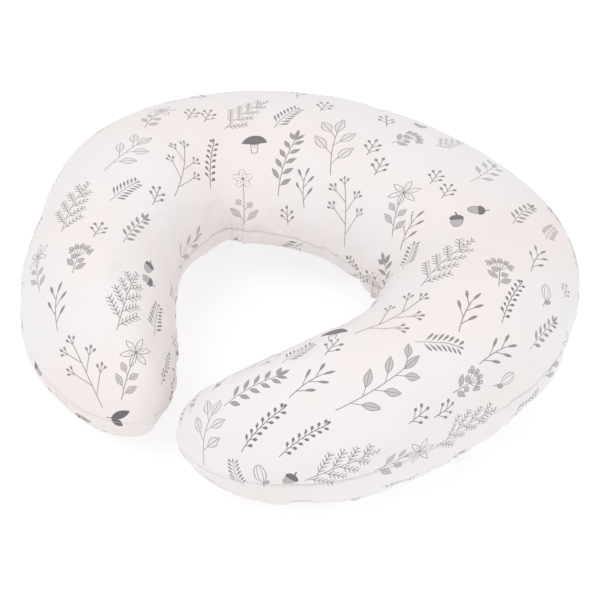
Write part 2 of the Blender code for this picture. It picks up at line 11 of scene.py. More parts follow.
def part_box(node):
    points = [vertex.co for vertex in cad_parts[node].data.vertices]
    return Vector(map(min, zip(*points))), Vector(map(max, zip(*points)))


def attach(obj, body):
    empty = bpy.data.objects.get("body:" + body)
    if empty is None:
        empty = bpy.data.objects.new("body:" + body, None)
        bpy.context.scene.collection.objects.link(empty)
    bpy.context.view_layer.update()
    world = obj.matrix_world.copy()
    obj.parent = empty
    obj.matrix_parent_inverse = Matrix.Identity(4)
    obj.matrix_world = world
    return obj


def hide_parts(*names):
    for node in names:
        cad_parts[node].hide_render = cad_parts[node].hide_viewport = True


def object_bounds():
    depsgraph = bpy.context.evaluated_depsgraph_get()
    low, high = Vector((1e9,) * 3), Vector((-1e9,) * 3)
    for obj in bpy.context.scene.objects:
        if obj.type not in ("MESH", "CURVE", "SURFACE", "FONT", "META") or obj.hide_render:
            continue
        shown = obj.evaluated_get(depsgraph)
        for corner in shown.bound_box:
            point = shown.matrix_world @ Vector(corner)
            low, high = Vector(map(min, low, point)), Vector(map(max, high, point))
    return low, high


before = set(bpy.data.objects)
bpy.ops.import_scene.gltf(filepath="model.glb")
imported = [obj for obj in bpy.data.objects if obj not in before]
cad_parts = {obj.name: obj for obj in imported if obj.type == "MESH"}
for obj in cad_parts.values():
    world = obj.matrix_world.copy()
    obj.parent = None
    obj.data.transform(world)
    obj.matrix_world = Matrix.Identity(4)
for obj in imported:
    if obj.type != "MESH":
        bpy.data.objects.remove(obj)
CAD_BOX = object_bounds()

TINY = 1e-12
SIDES = (1, -1)  # the half above the seam and the half below it

# ---- The pillow's form, the same values as the part's source ----
# Radius and degrees of each arc from the middle of the back to a tip
ARC_SHAPES = ((0.263, 28.5), (0.121, 60.5), (0.251, 40.5), (0.218, 37.5))
ARCS = [(radius, radius * math.radians(degrees)) for radius, degrees in ARC_SHAPES]
BACK_RADIUS, BACK_ARC = ARCS[0]
HALF_LENGTH = sum(length for radius, length in ARCS)
CAP_LENGTH = 0.1766
CAP_START = HALF_LENGTH - CAP_LENGTH
CAP_SAMPLES = 400
HALF_WIDTHS = (0.1057, 0.093, 0.078, 0.0785, 0.079)
CROWNS = (0.067, 0.085, 0.081, 0.0855)
SEAM_HEIGHT = 0.078
TIP_SEAM_HEIGHT = 0.068
UNDERSIDE_DEPTH = 0.0848
TAPE_WIDTH = 0.0115
INNER_TUCK = 1.5
TIP_TUCK = 1.25
TUCK_ANGLES = (math.asin(TAPE_WIDTH / UNDERSIDE_DEPTH), math.radians(26))
MIDDLE_Y = 0.1122522
OUTER_RADIUS = BACK_RADIUS + HALF_WIDTHS[0]

# ---- Inner case, filling, label and threads ----
CASE_DEPTH = 0.0023
FILLING_DEPTH = 0.0038
FILLING_MERGE = 0.0006
LAYER_STEP = 0.009
LAYER_RING_STEPS = 22
CASE_SEAM_STEP = 0.006
CASE_SEAM_RADIUS = 0.00035
CASE_SEAM_PROUD = 0.0003
CLOSING_LENGTH = 0.120
CLOSING_DEPTH = CASE_DEPTH + 0.0012
CLOSING_WAVES = 12
CLOSING_SWAY = 0.0014
CLOSING_RADIUS = 0.0004
LABEL_WIDTH = 0.010
LABEL_DEPTH = 0.0016
LABEL_DROP = 0.0012
LABEL_SPARE = 0.002
LABEL_WAVE = 0.0001
LABEL_GRID = (7, 15)
STITCH_RADIUS = 0.0003
SEAM_STITCH_PITCH = 0.0030
SEAM_STITCH_DEPTH = 0.0001
SEAM_STITCH_CLEAR = 0.004
TOPSTITCH_PITCH = 0.0027
TOPSTITCH_PROUD = 0.00012
TOPSTITCH_INSET = 0.0022
TOPSTITCH_SAMPLES = 600
# Along a stitch: its length, how far it dips and its thickness, as shares
STITCH_ALONG = np.array([-0.5, -0.36, -0.12, 0.12, 0.36, 0.5]) * 0.78
STITCH_DIP = np.array([-0.9, -0.1, 0.25, 0.25, -0.1, -0.9])
STITCH_THICKNESS = np.array([0.45, 0.95, 1.0, 1.0, 0.95, 0.45])

# ---- Zip ----
ZIP_LENGTH = 0.300
ZIP_OPENING = 0.0072
ZIP_TAPER = 0.004
TAPE_TAIL = 0.014
TAPE_DEPTH = 0.0013
TAPE_LEAN = 0.0003
TAPE_EDGES = (0.0003, TAPE_WIDTH - 0.0006)
TAPE_GRID = (241, 9)
COIL_TURNS = 210
COIL_TURN_POINTS = 8
COIL_DEPTH = 0.0004
COIL_THICKNESS = 0.00038
COIL_MIDDLE = 0.00115
COIL_REACH = 0.00105
COIL_WIRE = 0.00021
ZIP_HALF = ZIP_LENGTH / 2 * BACK_RADIUS / OUTER_RADIUS
TAIL_HALF = (ZIP_LENGTH / 2 + TAPE_TAIL) * BACK_RADIUS / OUTER_RADIUS
CLOSING_HALF = CLOSING_LENGTH / 2 * BACK_RADIUS / OUTER_RADIUS
METAL_NODES = (
    "zip_slider", "zip_pull_tab", "zip_top_stop_upper", "zip_top_stop_lower",
    "zip_bottom_stop",
)

# ---- How finely the fabric is divided, and how its seams and folds move it ----
ROW_STEP = 0.003
RING_STEPS = 64
RING_CROWDING = 0.045
HEM_DEPTH = 0.0009
SEAM_GAP = 0.00015
SEAM_PULL = 0.0014
SEAM_PULL_WIDTH = 0.0060
PUCKER_HEIGHT = 0.0007
PUCKER_REACH = 0.011
# Seed, pitch and strength of the gathers along the outer seam and the inner one
OUTER_PUCKERS = (11, 0.0085, 1.0)
INNER_PUCKERS = (12, 0.0075, 1.5)
ZIP_EASE = 0.006
TAIL_EASE = 0.020
ZIP_CALM = 0.022
SLACK_SEED = 21
SLACK_WAVES = ((0.045, 0.0007), (0.075, 0.0012))
# The cloth simulation: its mesh, its length in frames, what it may move and what it is
CLOTH_STEP = 0.0095
CLOTH_RING = 26
CLOTH_FRAMES = 20
CLOTH_CAP = 0.0025
FLOOR_CONTACT = 0.001
CLOTH_SETTINGS = {
    "quality": 6,
    "mass": 0.2,
    "tension_stiffness": 30,
    "compression_stiffness": 12,
    "shear_stiffness": 8,
    "bending_stiffness": 0.4,
    "use_pressure": True,
    "uniform_pressure_force": 4.0,
    "shrink_min": -0.035,
    "vertex_group_mass": "Seam",
}
# Each crease: place along the C, slant, half width, depth, how far up the section
CORNER_FOLDS = (
    (0.150, 0.030, 0.0075, 0.0022, 0.52),
    (0.169, 0.012, 0.0070, 0.0028, 0.62),
    (0.187, -0.004, 0.0075, 0.0025, 0.56),
    (0.207, -0.022, 0.0080, 0.0020, 0.48),
    (0.232, -0.034, 0.0080, 0.0016, 0.40),
    (0.126, 0.040, 0.0080, 0.0016, 0.44),
    (-0.158, -0.012, 0.0080, 0.0014, 0.32),
    (-0.182, -0.002, 0.0075, 0.0020, 0.36),
    (-0.208, 0.010, 0.0080, 0.0014, 0.30),
    (0.020, 0.004, 0.0110, 0.0009, 0.24),
    (-0.070, -0.006, 0.0110, 0.0009, 0.24),
    (0.085, 0.010, 0.0100, 0.0011, 0.28),
)
# A crease widens by this share towards the crown, between two ridges
FOLD_WIDENING = 1.5
RIDGE_HEIGHT = 0.4
RIDGE_PLACE = 1.9

# ---- The print, its room in the colour bake, and the cotton's colours ----
FACING_LIMIT = 0.30
HIDDEN_FACING = 0.22
LAID_FACING = 0.12
BOX_LIMIT = 1.08
BOX_TOUCH = 0.85
FAR_SIDE_GAP = 0.02
TOP_SEED = 5
BASE_SEED = 6
SCATTER_DEGREES = (108, 20)
SCATTER_RISE = 0.45
BARE_END_ROWS = 8
STRIP_SHARE = 0.490
STRIP_MARGIN = 0.005
COTTON_WARM = (0.815, 0.752, 0.738)
COTTON_COOL = (0.800, 0.778, 0.795)
INK_COLOUR = (0.080, 0.074, 0.086)
TINT_SCALE = 7.0
TINT_RANGE = (0.36, 0.66)
THREAD_SCALE = 2600.0
THREAD_STRETCH = 7.0
SLUB_SCALE = 75.0
WEAVE_HEIGHT = 0.00009
SLUB_HEIGHT = 0.00022
# How the weave varies the cloth and the ink: its share, and what is always there
WEAVE_SHADE = (0.10, 0.90)
WEAVE_INK = (0.16, 0.80)

# ---- Camera ----
AZIMUTH = 32.34
ELEVATION = 43.20
CAMERA_DISTANCE = 1.8205
FOCAL_PIXELS = 1807.4
FRAME_PIXELS = 600
SENSOR_MM = 36.0
OBJECT_LEFT_PIXELS = 6.1
OBJECT_UP_PIXELS = 30.0
CAMERA_ROLL = math.radians(-0.5)

# ---- Light and floor: places in degrees, distance and size, power in watts ----
LIGHTS = {
    "Key": (-35, 60, 2.6, 1.8, 20),
    "Right fill": (75, 32, 3.0, 2.0, 14),
    "Back fill": (160, 45, 3.0, 2.0, 6),
}
WORLD = {"Color": (1.0, 0.995, 0.99, 1), "Strength": 0.78}
FLOOR_HALF = 4.0
FLOOR_HEIGHT = -0.0006
FLOOR = {
    "Base Color": (0.50, 0.50, 0.50, 1),
    "Roughness": 0.9,
    "Specular IOR Level": 0.1,
    "Emission Color": (1, 1, 1, 1),
    "Emission Strength": 0.57,
}


# ---------------------------------------------------------------- form


def direction(azimuth, elevation):
    """Unit vector from the pillow towards a place given in degrees."""
    a, e = math.radians(azimuth), math.radians(elevation)
    return math.sin(a) * math.cos(e), -math.cos(a) * math.cos(e), math.sin(e)


VIEW_BACK = np.array(direction(AZIMUTH, ELEVATION))


def smooth_step(t):
    """Eases from 0 to 1 as t goes from 0 to 1."""
    return t * t * (3 - 2 * t)


def plan(distance):
    """Place and heading of the C's centreline at distances from the middle of the back."""
    left = np.abs(distance)
    x = np.zeros_like(left)
    y = np.full_like(left, BACK_RADIUS)
    heading = np.zeros_like(left)
    for radius, length in ARCS:
        step = np.minimum(left, length)
        turned = heading + step / radius
        x += radius * (np.sin(turned) - np.sin(heading))
        y += radius * (np.cos(turned) - np.cos(heading))
        heading = turned
        left = left - step
    side = np.where(distance < 0, -1.0, 1.0)
    return x * side, y, heading * side


def eased(knots, values, distance):
    """A value that eases from each knot to the next and is level at every knot."""
    found = np.full_like(distance, values[0])
    for i in range(1, len(knots)):
        t = np.clip((distance - knots[i - 1]) / (knots[i] - knots[i - 1]), 0, 1)
        found += (values[i] - values[i - 1]) * smooth_step(t)
    return found


def knots_at(shares):
    return [BACK_ARC + (HALF_LENGTH - BACK_ARC) * share for share in shares]


def half_width(distance):
    return eased(knots_at((0, 0.25, 0.5, 0.75, 1)), HALF_WIDTHS, distance)


def crown(distance):
    return eased(knots_at((0, 1 / 3, 2 / 3, 1)), CROWNS, distance)


def row_stations(step):
    """(distance, cap angle) of evenly spaced sections, from left tip to right tip."""
    straight = max(2, round(CAP_START / step))
    fine = np.linspace(0, math.pi / 2, CAP_SAMPLES)
    run = np.hypot(CAP_LENGTH * np.cos(fine), HALF_WIDTHS[-1] * np.sin(fine))
    travelled = np.concatenate(([0.0], np.cumsum((run[1:] + run[:-1]) / 2 * fine[1])))
    count = round(travelled[-1] / step)
    caps = np.interp(np.linspace(0, travelled[-1], count + 1), travelled, fine)
    distance = np.concatenate(
        (np.linspace(0, CAP_START, straight + 1), np.full(count, CAP_START))
    )
    cap = np.concatenate((np.zeros(straight + 1), caps[1:]))
    return (
        np.concatenate((-distance[:0:-1], distance)),
        np.concatenate((cap[:0:-1], cap)),
    )


def tucked(along, angle):
    """Shares of the width and depth of the underside, tucked in below the seams."""
    inner = eased(knots_at((0.5, 1)), (INNER_TUCK, TIP_TUCK), along)
    outer = eased((CAP_START, HALF_LENGTH), (1.0, TIP_TUCK), along)
    most = np.where(angle > math.pi / 2, inner, outer)
    below = np.minimum(angle, math.pi - angle)
    power = 1 + (most - 1) * eased(TUCK_ANGLES, (0.0, 1.0), below)
    across, down = np.cos(angle), np.clip(np.sin(angle), 0, 1)
    return np.copysign(np.abs(across) ** power, across), down**power


def section(distance, cap, angle, side, depth=0.0):
    """Points of the loft: angle 0 is the outer seam and pi the inner one."""
    along = np.abs(distance) + (CAP_LENGTH - depth) * np.sin(cap)
    x, y, heading = plan(np.copysign(along, distance))
    shrink = np.cos(cap)
    across, rise = tucked(along, angle) if side < 0 else (np.cos(angle), np.sin(angle))
    radial = (half_width(along) - depth) * shrink * across
    tall = crown(along) if side > 0 else UNDERSIDE_DEPTH
    height = (tall - depth) * shrink * rise * side
    px = x + np.sin(heading) * radial
    py = y + np.cos(heading) * radial - MIDDLE_Y
    seam = eased((CAP_START, HALF_LENGTH), (SEAM_HEIGHT, TIP_SEAM_HEIGHT), along)
    pz = np.maximum(seam + height, depth)
    return np.stack((px, py, pz), axis=-1)


def unit(vectors):
    size = np.linalg.norm(vectors, axis=-1, keepdims=True)
    return vectors / np.maximum(size, TINY)


def grid_normals(points, side):
    """Unit normals of a grid of points, pointing out of the pillow."""
    along = np.gradient(points, axis=0)
    across = np.gradient(points, axis=1)
    normals = unit(np.cross(across, along) * side)
    for end, towards in ((0, -1.0), (-1, 1.0)):
        x, y, heading = plan(np.array([towards * HALF_LENGTH]))
        normals[end] = (towards * math.cos(heading[0]), -towards * math.sin(heading[0]), 0)
    return normals


def smooth_random(seed, count, pitch, spacing):
    """Smooth random values, one for each of count points that lie spacing apart."""
    random = np.random.default_rng(seed)
    knots = np.arange(-2, count * spacing / pitch + 3)
    values = random.normal(size=len(knots))
    where = np.arange(count) * spacing / pitch
    base = np.floor(where).astype(int)
    t = smooth_step(where - base)
    return values[base + 2] * (1 - t) + values[base + 3] * t


# ---------------------------------------------------------------- meshes


def grid_faces(rows, cols, flip):
    """Quads of a grid whose first and last rows may each be one point."""
    index = np.arange(rows * cols).reshape(rows, cols)
    a, b = index[:-1, :-1].ravel(), index[1:, :-1].ravel()
    c, d = index[1:, 1:].ravel(), index[:-1, 1:].ravel()
    quads = np.stack((a, b, c, d), axis=-1)
    return quads[:, ::-1] if flip else quads


def build_mesh(name, points, faces):
    mesh = bpy.data.meshes.new(name)
    flat = np.asarray(points, dtype=np.float32).reshape(-1, 3)
    mesh.from_pydata(flat.tolist(), [], [list(map(int, face)) for face in faces])
    mesh.update()
    mesh.shade_smooth()
    return mesh


def add_piece(name, mesh, *materials):
    for material in materials:
        mesh.materials.append(material)
    piece = bpy.data.objects.new(name, mesh)
    bpy.context.scene.collection.objects.link(piece)
    return piece


def closed_ends(rows, cols, quads):
    """Makes the first and last row one point each.

    Returns the faces that are left, and the number and kept corners of each one's quad.
    """
    last = (rows - 1) * cols
    faces, kept = [], []
    for number, quad in enumerate(quads.tolist()):
        corners = {}
        for spot, vertex in enumerate(quad):
            vertex = 0 if vertex < cols else last if vertex >= last else vertex
            corners.setdefault(vertex, spot)
        if len(corners) > 2:
            faces.append(list(corners))
            kept.append((number, list(corners.values())))
    return faces, kept


def compacted(points, faces):
    """The points that faces use, their old numbers, and the faces in new numbers."""
    used = sorted({vertex for face in faces for vertex in face})
    renumber = {vertex: number for number, vertex in enumerate(used)}
    faces = [[renumber[vertex] for vertex in face] for face in faces]
    return points.reshape(-1, 3)[used], np.array(used), faces


def set_uv(mesh, name, values):
    layer = mesh.uv_layers.new(name=name)
    layer.data.foreach_set("uv", np.asarray(values, dtype=np.float32).ravel())


def tube(path, radius, sides=6):
    """Vertices and faces of a tube along a path of points."""
    path = np.asarray(path, dtype=float)
    count = len(path)
    tangent = unit(np.gradient(path, axis=0))
    side = np.cross(tangent, (0.0, 0.0, 1.0))
    upright = np.linalg.norm(side, axis=1) < 0.2
    side[upright] = np.cross(tangent[upright], (1.0, 0.0, 0.0))
    side = unit(side)
    lift = np.cross(side, tangent)
    turn = np.arange(sides) * 2 * math.pi / sides
    radius = np.broadcast_to(radius, (count,))[:, None, None]
    ring = side[:, None] * np.cos(turn)[None, :, None]
    ring = (ring + lift[:, None] * np.sin(turn)[None, :, None]) * radius
    points = (path[:, None] + ring).reshape(-1, 3)
    faces = [tuple(range(sides))[::-1]]
    for i in range(0, (count - 1) * sides, sides):
        for k in range(sides):
            m = (k + 1) % sides
            faces.append((i + k, i + m, i + sides + m, i + sides + k))
    faces.append(tuple((count - 1) * sides + k for k in range(sides)))
    return points, faces


def joined(parts):
    """One vertex array and face list from many."""
    points, faces, start = [], [], 0
    for part_points, part_faces in parts:
        points.append(part_points)
        faces += [tuple(v + start for v in face) for face in part_faces]
        start += len(part_points)
    return np.concatenate(points), faces


def stitches(path, away, pitch):
    """Separate stitches along a dense path, each a short rounded capsule that dips in."""
    steps = np.linalg.norm(np.diff(path, axis=0), axis=1)
    travelled = np.concatenate(([0.0], np.cumsum(steps)))
    parts = []
    for i in range(int(travelled[-1] // pitch)):
        where = (i + 0.5 + STITCH_ALONG) * pitch
        spots, lifts = (
            np.stack([np.interp(where, travelled, values[:, k]) for k in range(3)], 1)
            for values in (path, away)
        )
        dips = (STITCH_DIP * STITCH_RADIUS)[:, None]
        parts.append(tube(spots + lifts * dips, STITCH_THICKNESS * STITCH_RADIUS, 5))
    return joined(parts)


# ---------------------------------------------------------------- fabric


def zip_share(distance):
    """1 along the open stretch of the cover's edge, easing to 0 past each end."""
    return 1 - smooth_step(np.clip((np.abs(distance) - ZIP_HALF) / ZIP_EASE, 0, 1))


def tail_share(distance):
    """1 along the zip and its tape, where the seam is not pulled in."""
    over = (np.abs(distance) - TAIL_HALF - ZIP_TAPER) / TAIL_EASE
    return 1 - smooth_step(np.clip(over, 0, 1))


def ring_angles(distance, side, steps, opening):
    """Angles of each row's section, from the panel's outer edge to its inner edge."""
    t = np.linspace(0, 1, steps + 1)
    t = t - RING_CROWDING * np.sin(2 * math.pi * t)
    tall = crown(np.abs(distance)) if side > 0 else UNDERSIDE_DEPTH
    lift = opening * zip_share(distance) + SEAM_GAP * (1 - zip_share(distance))
    start = np.arcsin(lift / tall)[:, None]
    end = math.pi - np.arcsin(SEAM_GAP / tall * np.ones_like(distance))[:, None]
    return start + (end - start) * t[None, :]


def seam_pull(to_outer, to_inner, outer_free):
    """How deep the two seams draw the fabric in."""
    outer = outer_free * np.exp(-to_outer / SEAM_PULL_WIDTH)
    inner = np.exp(-to_inner / SEAM_PULL_WIDTH)
    return SEAM_PULL * (outer + inner)


def seam_puckers(step, to_outer, to_inner, outer_free):
    """Small gathers that run into the seams."""
    gathers = 0
    for (seed, pitch, strength), away, free in (
        (OUTER_PUCKERS, to_outer, outer_free),
        (INNER_PUCKERS, to_inner, 1.0),
    ):
        values = smooth_random(seed, len(away), pitch, step)[:, None] * strength * free
        gathers = gathers + values * np.exp(-away / PUCKER_REACH)
    return PUCKER_HEIGHT * gathers


def slack_waves(step, angles, side):
    """Long, low waves of the stuffed fabric."""
    waves = np.zeros_like(angles)
    for k, (pitch, height) in enumerate(SLACK_WAVES):
        seed = SLACK_SEED + k + 10 * (side > 0)
        values = smooth_random(seed, len(angles), pitch, step)
        shape = np.sin(angles) * np.sin(angles * (k + 1) + 0.7 * k) ** 2
        waves += height * values[:, None] * shape
    return waves


def corner_folds(arc, angles):
    """Creases that run up from the inner seam where the C turns tightest."""
    inward = 1 - angles / math.pi
    folds = np.zeros_like(angles)
    for centre, slant, width, depth, reach in CORNER_FOLDS:
        across = (arc - centre - slant * inward) / (width * (1 + FOLD_WIDENING * inward))
        fade = np.clip(1 - inward / reach, 0, 1) ** 2
        folds -= depth * np.exp(-across * across) * fade
        ridges = np.exp(-((np.abs(across) - RIDGE_PLACE) ** 2))
        folds += RIDGE_HEIGHT * depth * ridges * fade
    return folds


def loop_faces(index):
    """Faces of a grid of vertex numbers whose last column joins its first."""
    following = np.roll(index, -1, axis=1)
    quads = np.stack((index[:-1], following[:-1], following[1:], index[1:]), axis=-1)
    return [list(dict.fromkeys(quad)) for quad in quads.reshape(-1, 4).tolist()]


def simulated(points, faces, pinned):
    """Where a cloth's points lie once pressure has filled it; pinned points stay."""
    cloth = add_piece("cloth", build_mesh("cloth", points, faces))
    seam = cloth.vertex_groups.new(name="Seam")
    seam.add(np.flatnonzero(pinned).tolist(), 1.0, "REPLACE")
    modifier = cloth.modifiers.new("Cloth", "CLOTH")
    for key, value in CLOTH_SETTINGS.items():
        setattr(modifier.settings, key, value)
    modifier.settings.effector_weights.gravity = 0.0
    modifier.collision_settings.use_collision = False
    scene = bpy.context.scene
    for number in range(1, CLOTH_FRAMES + 1):
        scene.frame_set(number)
    graph = bpy.context.evaluated_depsgraph_get()
    found = np.zeros(len(points) * 3)
    cloth.evaluated_get(graph).to_mesh().vertices.foreach_get("co", found)
    scene.frame_set(1)
    bpy.data.objects.remove(cloth, do_unlink=True)
    return found.reshape(-1, 3)


def stuffed_shape():
    """Cloth simulation of the stuffed cover: how far each point swells, a grid a side.

    The cover starts as the plain form in slightly too much fabric. Pressure fills it out,
    and the spare fabric gathers where the C bends.
    """
    distance, cap = row_stations(CLOTH_STEP)
    angles = np.linspace(0, math.pi, CLOTH_RING + 1)[None, :] + 0 * distance[:, None]
    rows, cols = angles.shape
    halves = {
        side: section(distance[:, None], cap[:, None], angles, side) for side in SIDES
    }
    loop = np.concatenate((halves[1], halves[-1][:, -2:0:-1]), axis=1)
    around = loop.shape[1]
    index = np.arange(rows * around).reshape(rows, around)
    index[0], index[-1] = index[0, 0], index[-1, 0]
    start, used, faces = compacted(loop, loop_faces(index))
    pinned = np.isin(used % around, (0, cols - 1)) | (start[:, 2] < FLOOR_CONTACT)
    moved = np.zeros((rows * around, 3))
    moved[used] = simulated(start, faces, pinned) - start
    moved = moved[index]
    lower = np.concatenate((moved[:, :1], moved[:, : cols - 2 : -1]), axis=1)
    found = {}
    for side, part in ((1, moved[:, :cols]), (-1, lower)):
        outward = (part * grid_normals(halves[side], side)).sum(axis=-1)
        outward -= outward[cap < 0.01].mean(axis=0)
        outward[[0, -1]] = 0.0
        found[side] = np.clip(outward, -CLOTH_CAP, CLOTH_CAP)
    return found


def swelling(side, angles, rows_wanted):
    """The simulated swelling at each point of a finer grid."""
    if not STUFFED:
        return 0.0
    grid = STUFFED[side]
    rows = np.linspace(0, grid.shape[0] - 1, rows_wanted)
    cols = angles / math.pi * (grid.shape[1] - 1)
    i = np.clip(rows.astype(int), 0, grid.shape[0] - 2)[:, None]
    j = np.clip(cols.astype(int), 0, grid.shape[1] - 2)
    u, v = smooth_step(rows[:, None] - i), smooth_step(cols - j)
    low = grid[i, j] * (1 - v) + grid[i, j + 1] * v
    high = grid[i + 1, j] * (1 - v) + grid[i + 1, j + 1] * v
    return low * (1 - u) + high * u


def cover_field(side, step, steps, depth=0.0, opening=ZIP_OPENING / 2):
    """A layer of the shaped pillow: its points, its normals and places on flat cloth."""
    distance, cap = row_stations(step)
    rows, caps = distance[:, None], cap[:, None]
    angles = ring_angles(distance, side, steps, opening)
    base = section(rows, caps, angles, side, depth)
    arc = np.copysign(np.abs(rows) + CAP_LENGTH * np.sin(caps), rows)
    reach = half_width(np.abs(arc)) * np.cos(caps)
    to_outer, to_inner = reach * angles, reach * (math.pi - angles)
    outer_free = 1 - tail_share(rows)
    near_zip = tail_share(rows) * np.exp(-((to_outer / ZIP_CALM) ** 2))
    move = slack_waves(step, angles, side) + corner_folds(arc, angles)
    move = move + swelling(side, angles, len(cap))
    move = move * (1 - near_zip) + seam_puckers(step, to_outer, to_inner, outer_free)
    move = (move - seam_pull(to_outer, to_inner, outer_free)) * np.sqrt(np.cos(caps))
    points = base + grid_normals(base, side) * move[..., None]
    points[..., 2] = np.maximum(points[..., 2], depth)
    cloth = np.stack(np.broadcast_arrays(arc, to_outer), axis=-1)
    return points, grid_normals(points, side), cloth


def with_hems(points, normals, cloth):
    """Adds the turned-in edges of a panel, two columns at each side of its grid."""
    def column(i, depth):
        return points[:, i] - normals[:, i] * depth

    outer = [column(1, HEM_DEPTH), column(0, HEM_DEPTH / 2)]
    inner = [column(-1, HEM_DEPTH / 2), column(-2, HEM_DEPTH)]
    grid = np.concatenate(
        (np.stack(outer, axis=1), points, np.stack(inner, axis=1)), axis=1
    )
    uv = np.concatenate((cloth[:, [1, 0]], cloth, cloth[:, [-1, -2]]), axis=1)
    return grid, uv


def packed_strip(rows, cols, faces):
    """Room for the colours: the long strip cut into four lengths, laid two by two."""
    quarter_rows = math.ceil((rows - 1) / 4)
    face_row = faces[:, 0] // cols
    quarter = face_row // quarter_rows
    row, col = faces // cols, faces % cols
    u = (row - quarter[:, None] * quarter_rows) / quarter_rows * STRIP_SHARE
    v = col / (cols - 1) * STRIP_SHARE
    u = u + (quarter[:, None] % 2) * 0.5 + STRIP_MARGIN
    v = v + (quarter[:, None] // 2) * 0.5 + STRIP_MARGIN
    return np.stack((u, v), axis=-1)


# ---------------------------------------------------------------- print


class Motif:
    """Where one drawing of the print lies on the cloth."""

    def __init__(self, kind, centre, normal, direction, length):
        self.kind = kind
        self.centre = np.asarray(centre, dtype=float)
        normal = np.asarray(normal, dtype=float)
        along = np.asarray(direction, dtype=float)
        along = along - normal * along.dot(normal)
        self.along = along / np.linalg.norm(along)
        self.normal = normal
        self.across = np.cross(normal, self.along)
        drawn_length, drawn_width = KINDS[kind][1:3]
        self.scale = length / drawn_length
        self.half = (length / 2, drawn_width * self.scale / 2)

    def local(self, points):
        """Millimetres of the drawing: along and across, as if the cloth lay flat."""
        away = points - self.centre
        flat = np.stack((away @ self.along, away @ self.across), axis=-1)
        reach = np.linalg.norm(away, axis=-1)
        size = np.linalg.norm(flat, axis=-1)
        return flat * (reach / np.maximum(size, 1e-9))[..., None]

    def closeness(self, points, normals):
        """0 at the middle and 1 at the edge of the motif's box, large on the far side."""
        local = np.abs(self.local(points))
        found = np.maximum(local[..., 0] / self.half[0], local[..., 1] / self.half[1])
        return np.where(normals @ self.normal > FACING_LIMIT, found, 99.0)


def laid_motifs(points, normals):
    """The motifs of the visible top, each at its place in plan."""
    flat = points.reshape(-1, 3)
    up = normals.reshape(-1, 3)
    usable = up[:, 2] > LAID_FACING
    motifs = []
    for kind, places in LAYOUT.items():
        for x, y, degrees, length in places:
            gap = np.hypot(flat[:, 0] - x / 100, flat[:, 1] - y / 100)
            i = int(np.argmin(np.where(usable, gap, math.inf)))
            turn = math.radians(degrees)
            along = (math.cos(turn), math.sin(turn), 0.0)
            motifs.append(Motif(kind, flat[i], up[i], along, length / 1000))
    return motifs


def scattered_motifs(points, normals, motifs, seed):
    """Fills the cloth beyond the laid motifs, large motifs first, then smaller ones."""
    random = np.random.default_rng(seed)
    rows = slice(BARE_END_ROWS, -BARE_END_ROWS)
    flat = points[rows].reshape(-1, 3)
    up = normals[rows].reshape(-1, 3)
    found = list(motifs)
    for kinds, low, high, tries, spare in SCATTER:
        for i in random.integers(0, len(flat), tries):
            if up[i] @ VIEW_BACK > HIDDEN_FACING:
                continue
            kind = kinds[int(random.integers(len(kinds)))]
            length = random.uniform(low, high) / 1000
            turn = math.radians(random.normal(*SCATTER_DEGREES))
            along = (math.cos(turn), math.sin(turn), SCATTER_RISE)
            new = Motif(kind, flat[i], up[i], along, length)
            if all(clear_of(new, other, spare) for other in found):
                found.append(new)
    return found


def clear_of(new, other, spare):
    """True if two motifs' boxes, each a little reduced, do not meet."""
    gap = np.linalg.norm(new.centre - other.centre)
    if gap > new.half[0] + other.half[0] + spare:
        return True
    if new.normal @ other.normal < 0.0:
        return gap > FAR_SIDE_GAP
    u, v = np.abs(other.local(new.centre))
    turn = abs(new.along @ other.along)
    cross = math.sqrt(max(0.0, 1 - turn * turn))
    reach_u = new.half[0] * turn + new.half[1] * cross
    reach_v = new.half[0] * cross + new.half[1] * turn
    beyond_u = u > other.half[0] + reach_u * BOX_TOUCH
    return beyond_u or v > other.half[1] + reach_v * BOX_TOUCH


def print_on(points, faces, motifs):
    """Gives each face its motif's material and coordinates in the motif's drawing."""
    flat = points.reshape(-1, 3)
    corners = flat[faces]
    centres = corners.mean(axis=1)
    diagonals = corners[:, 2] - corners[:, 0], corners[:, 3] - corners[:, 1]
    facing = unit(np.cross(*diagonals))
    best = np.full(len(faces), BOX_LIMIT)
    owner = np.full(len(faces), -1)
    for i, motif in enumerate(motifs):
        near = motif.closeness(centres, facing)
        closer = near < best
        best[closer] = near[closer]
        owner[closer] = i
    kinds = list(KINDS)
    slots = np.zeros(len(faces), dtype=int)
    uv = np.zeros((len(faces), 4, 2))
    for i, motif in enumerate(motifs):
        mine = owner == i
        if mine.any():
            slots[mine] = 1 + kinds.index(motif.kind)
            uv[mine] = motif.local(corners[mine]) / motif.scale
    return slots, uv


# ---------------------------------------------------------------- drawing with nodes


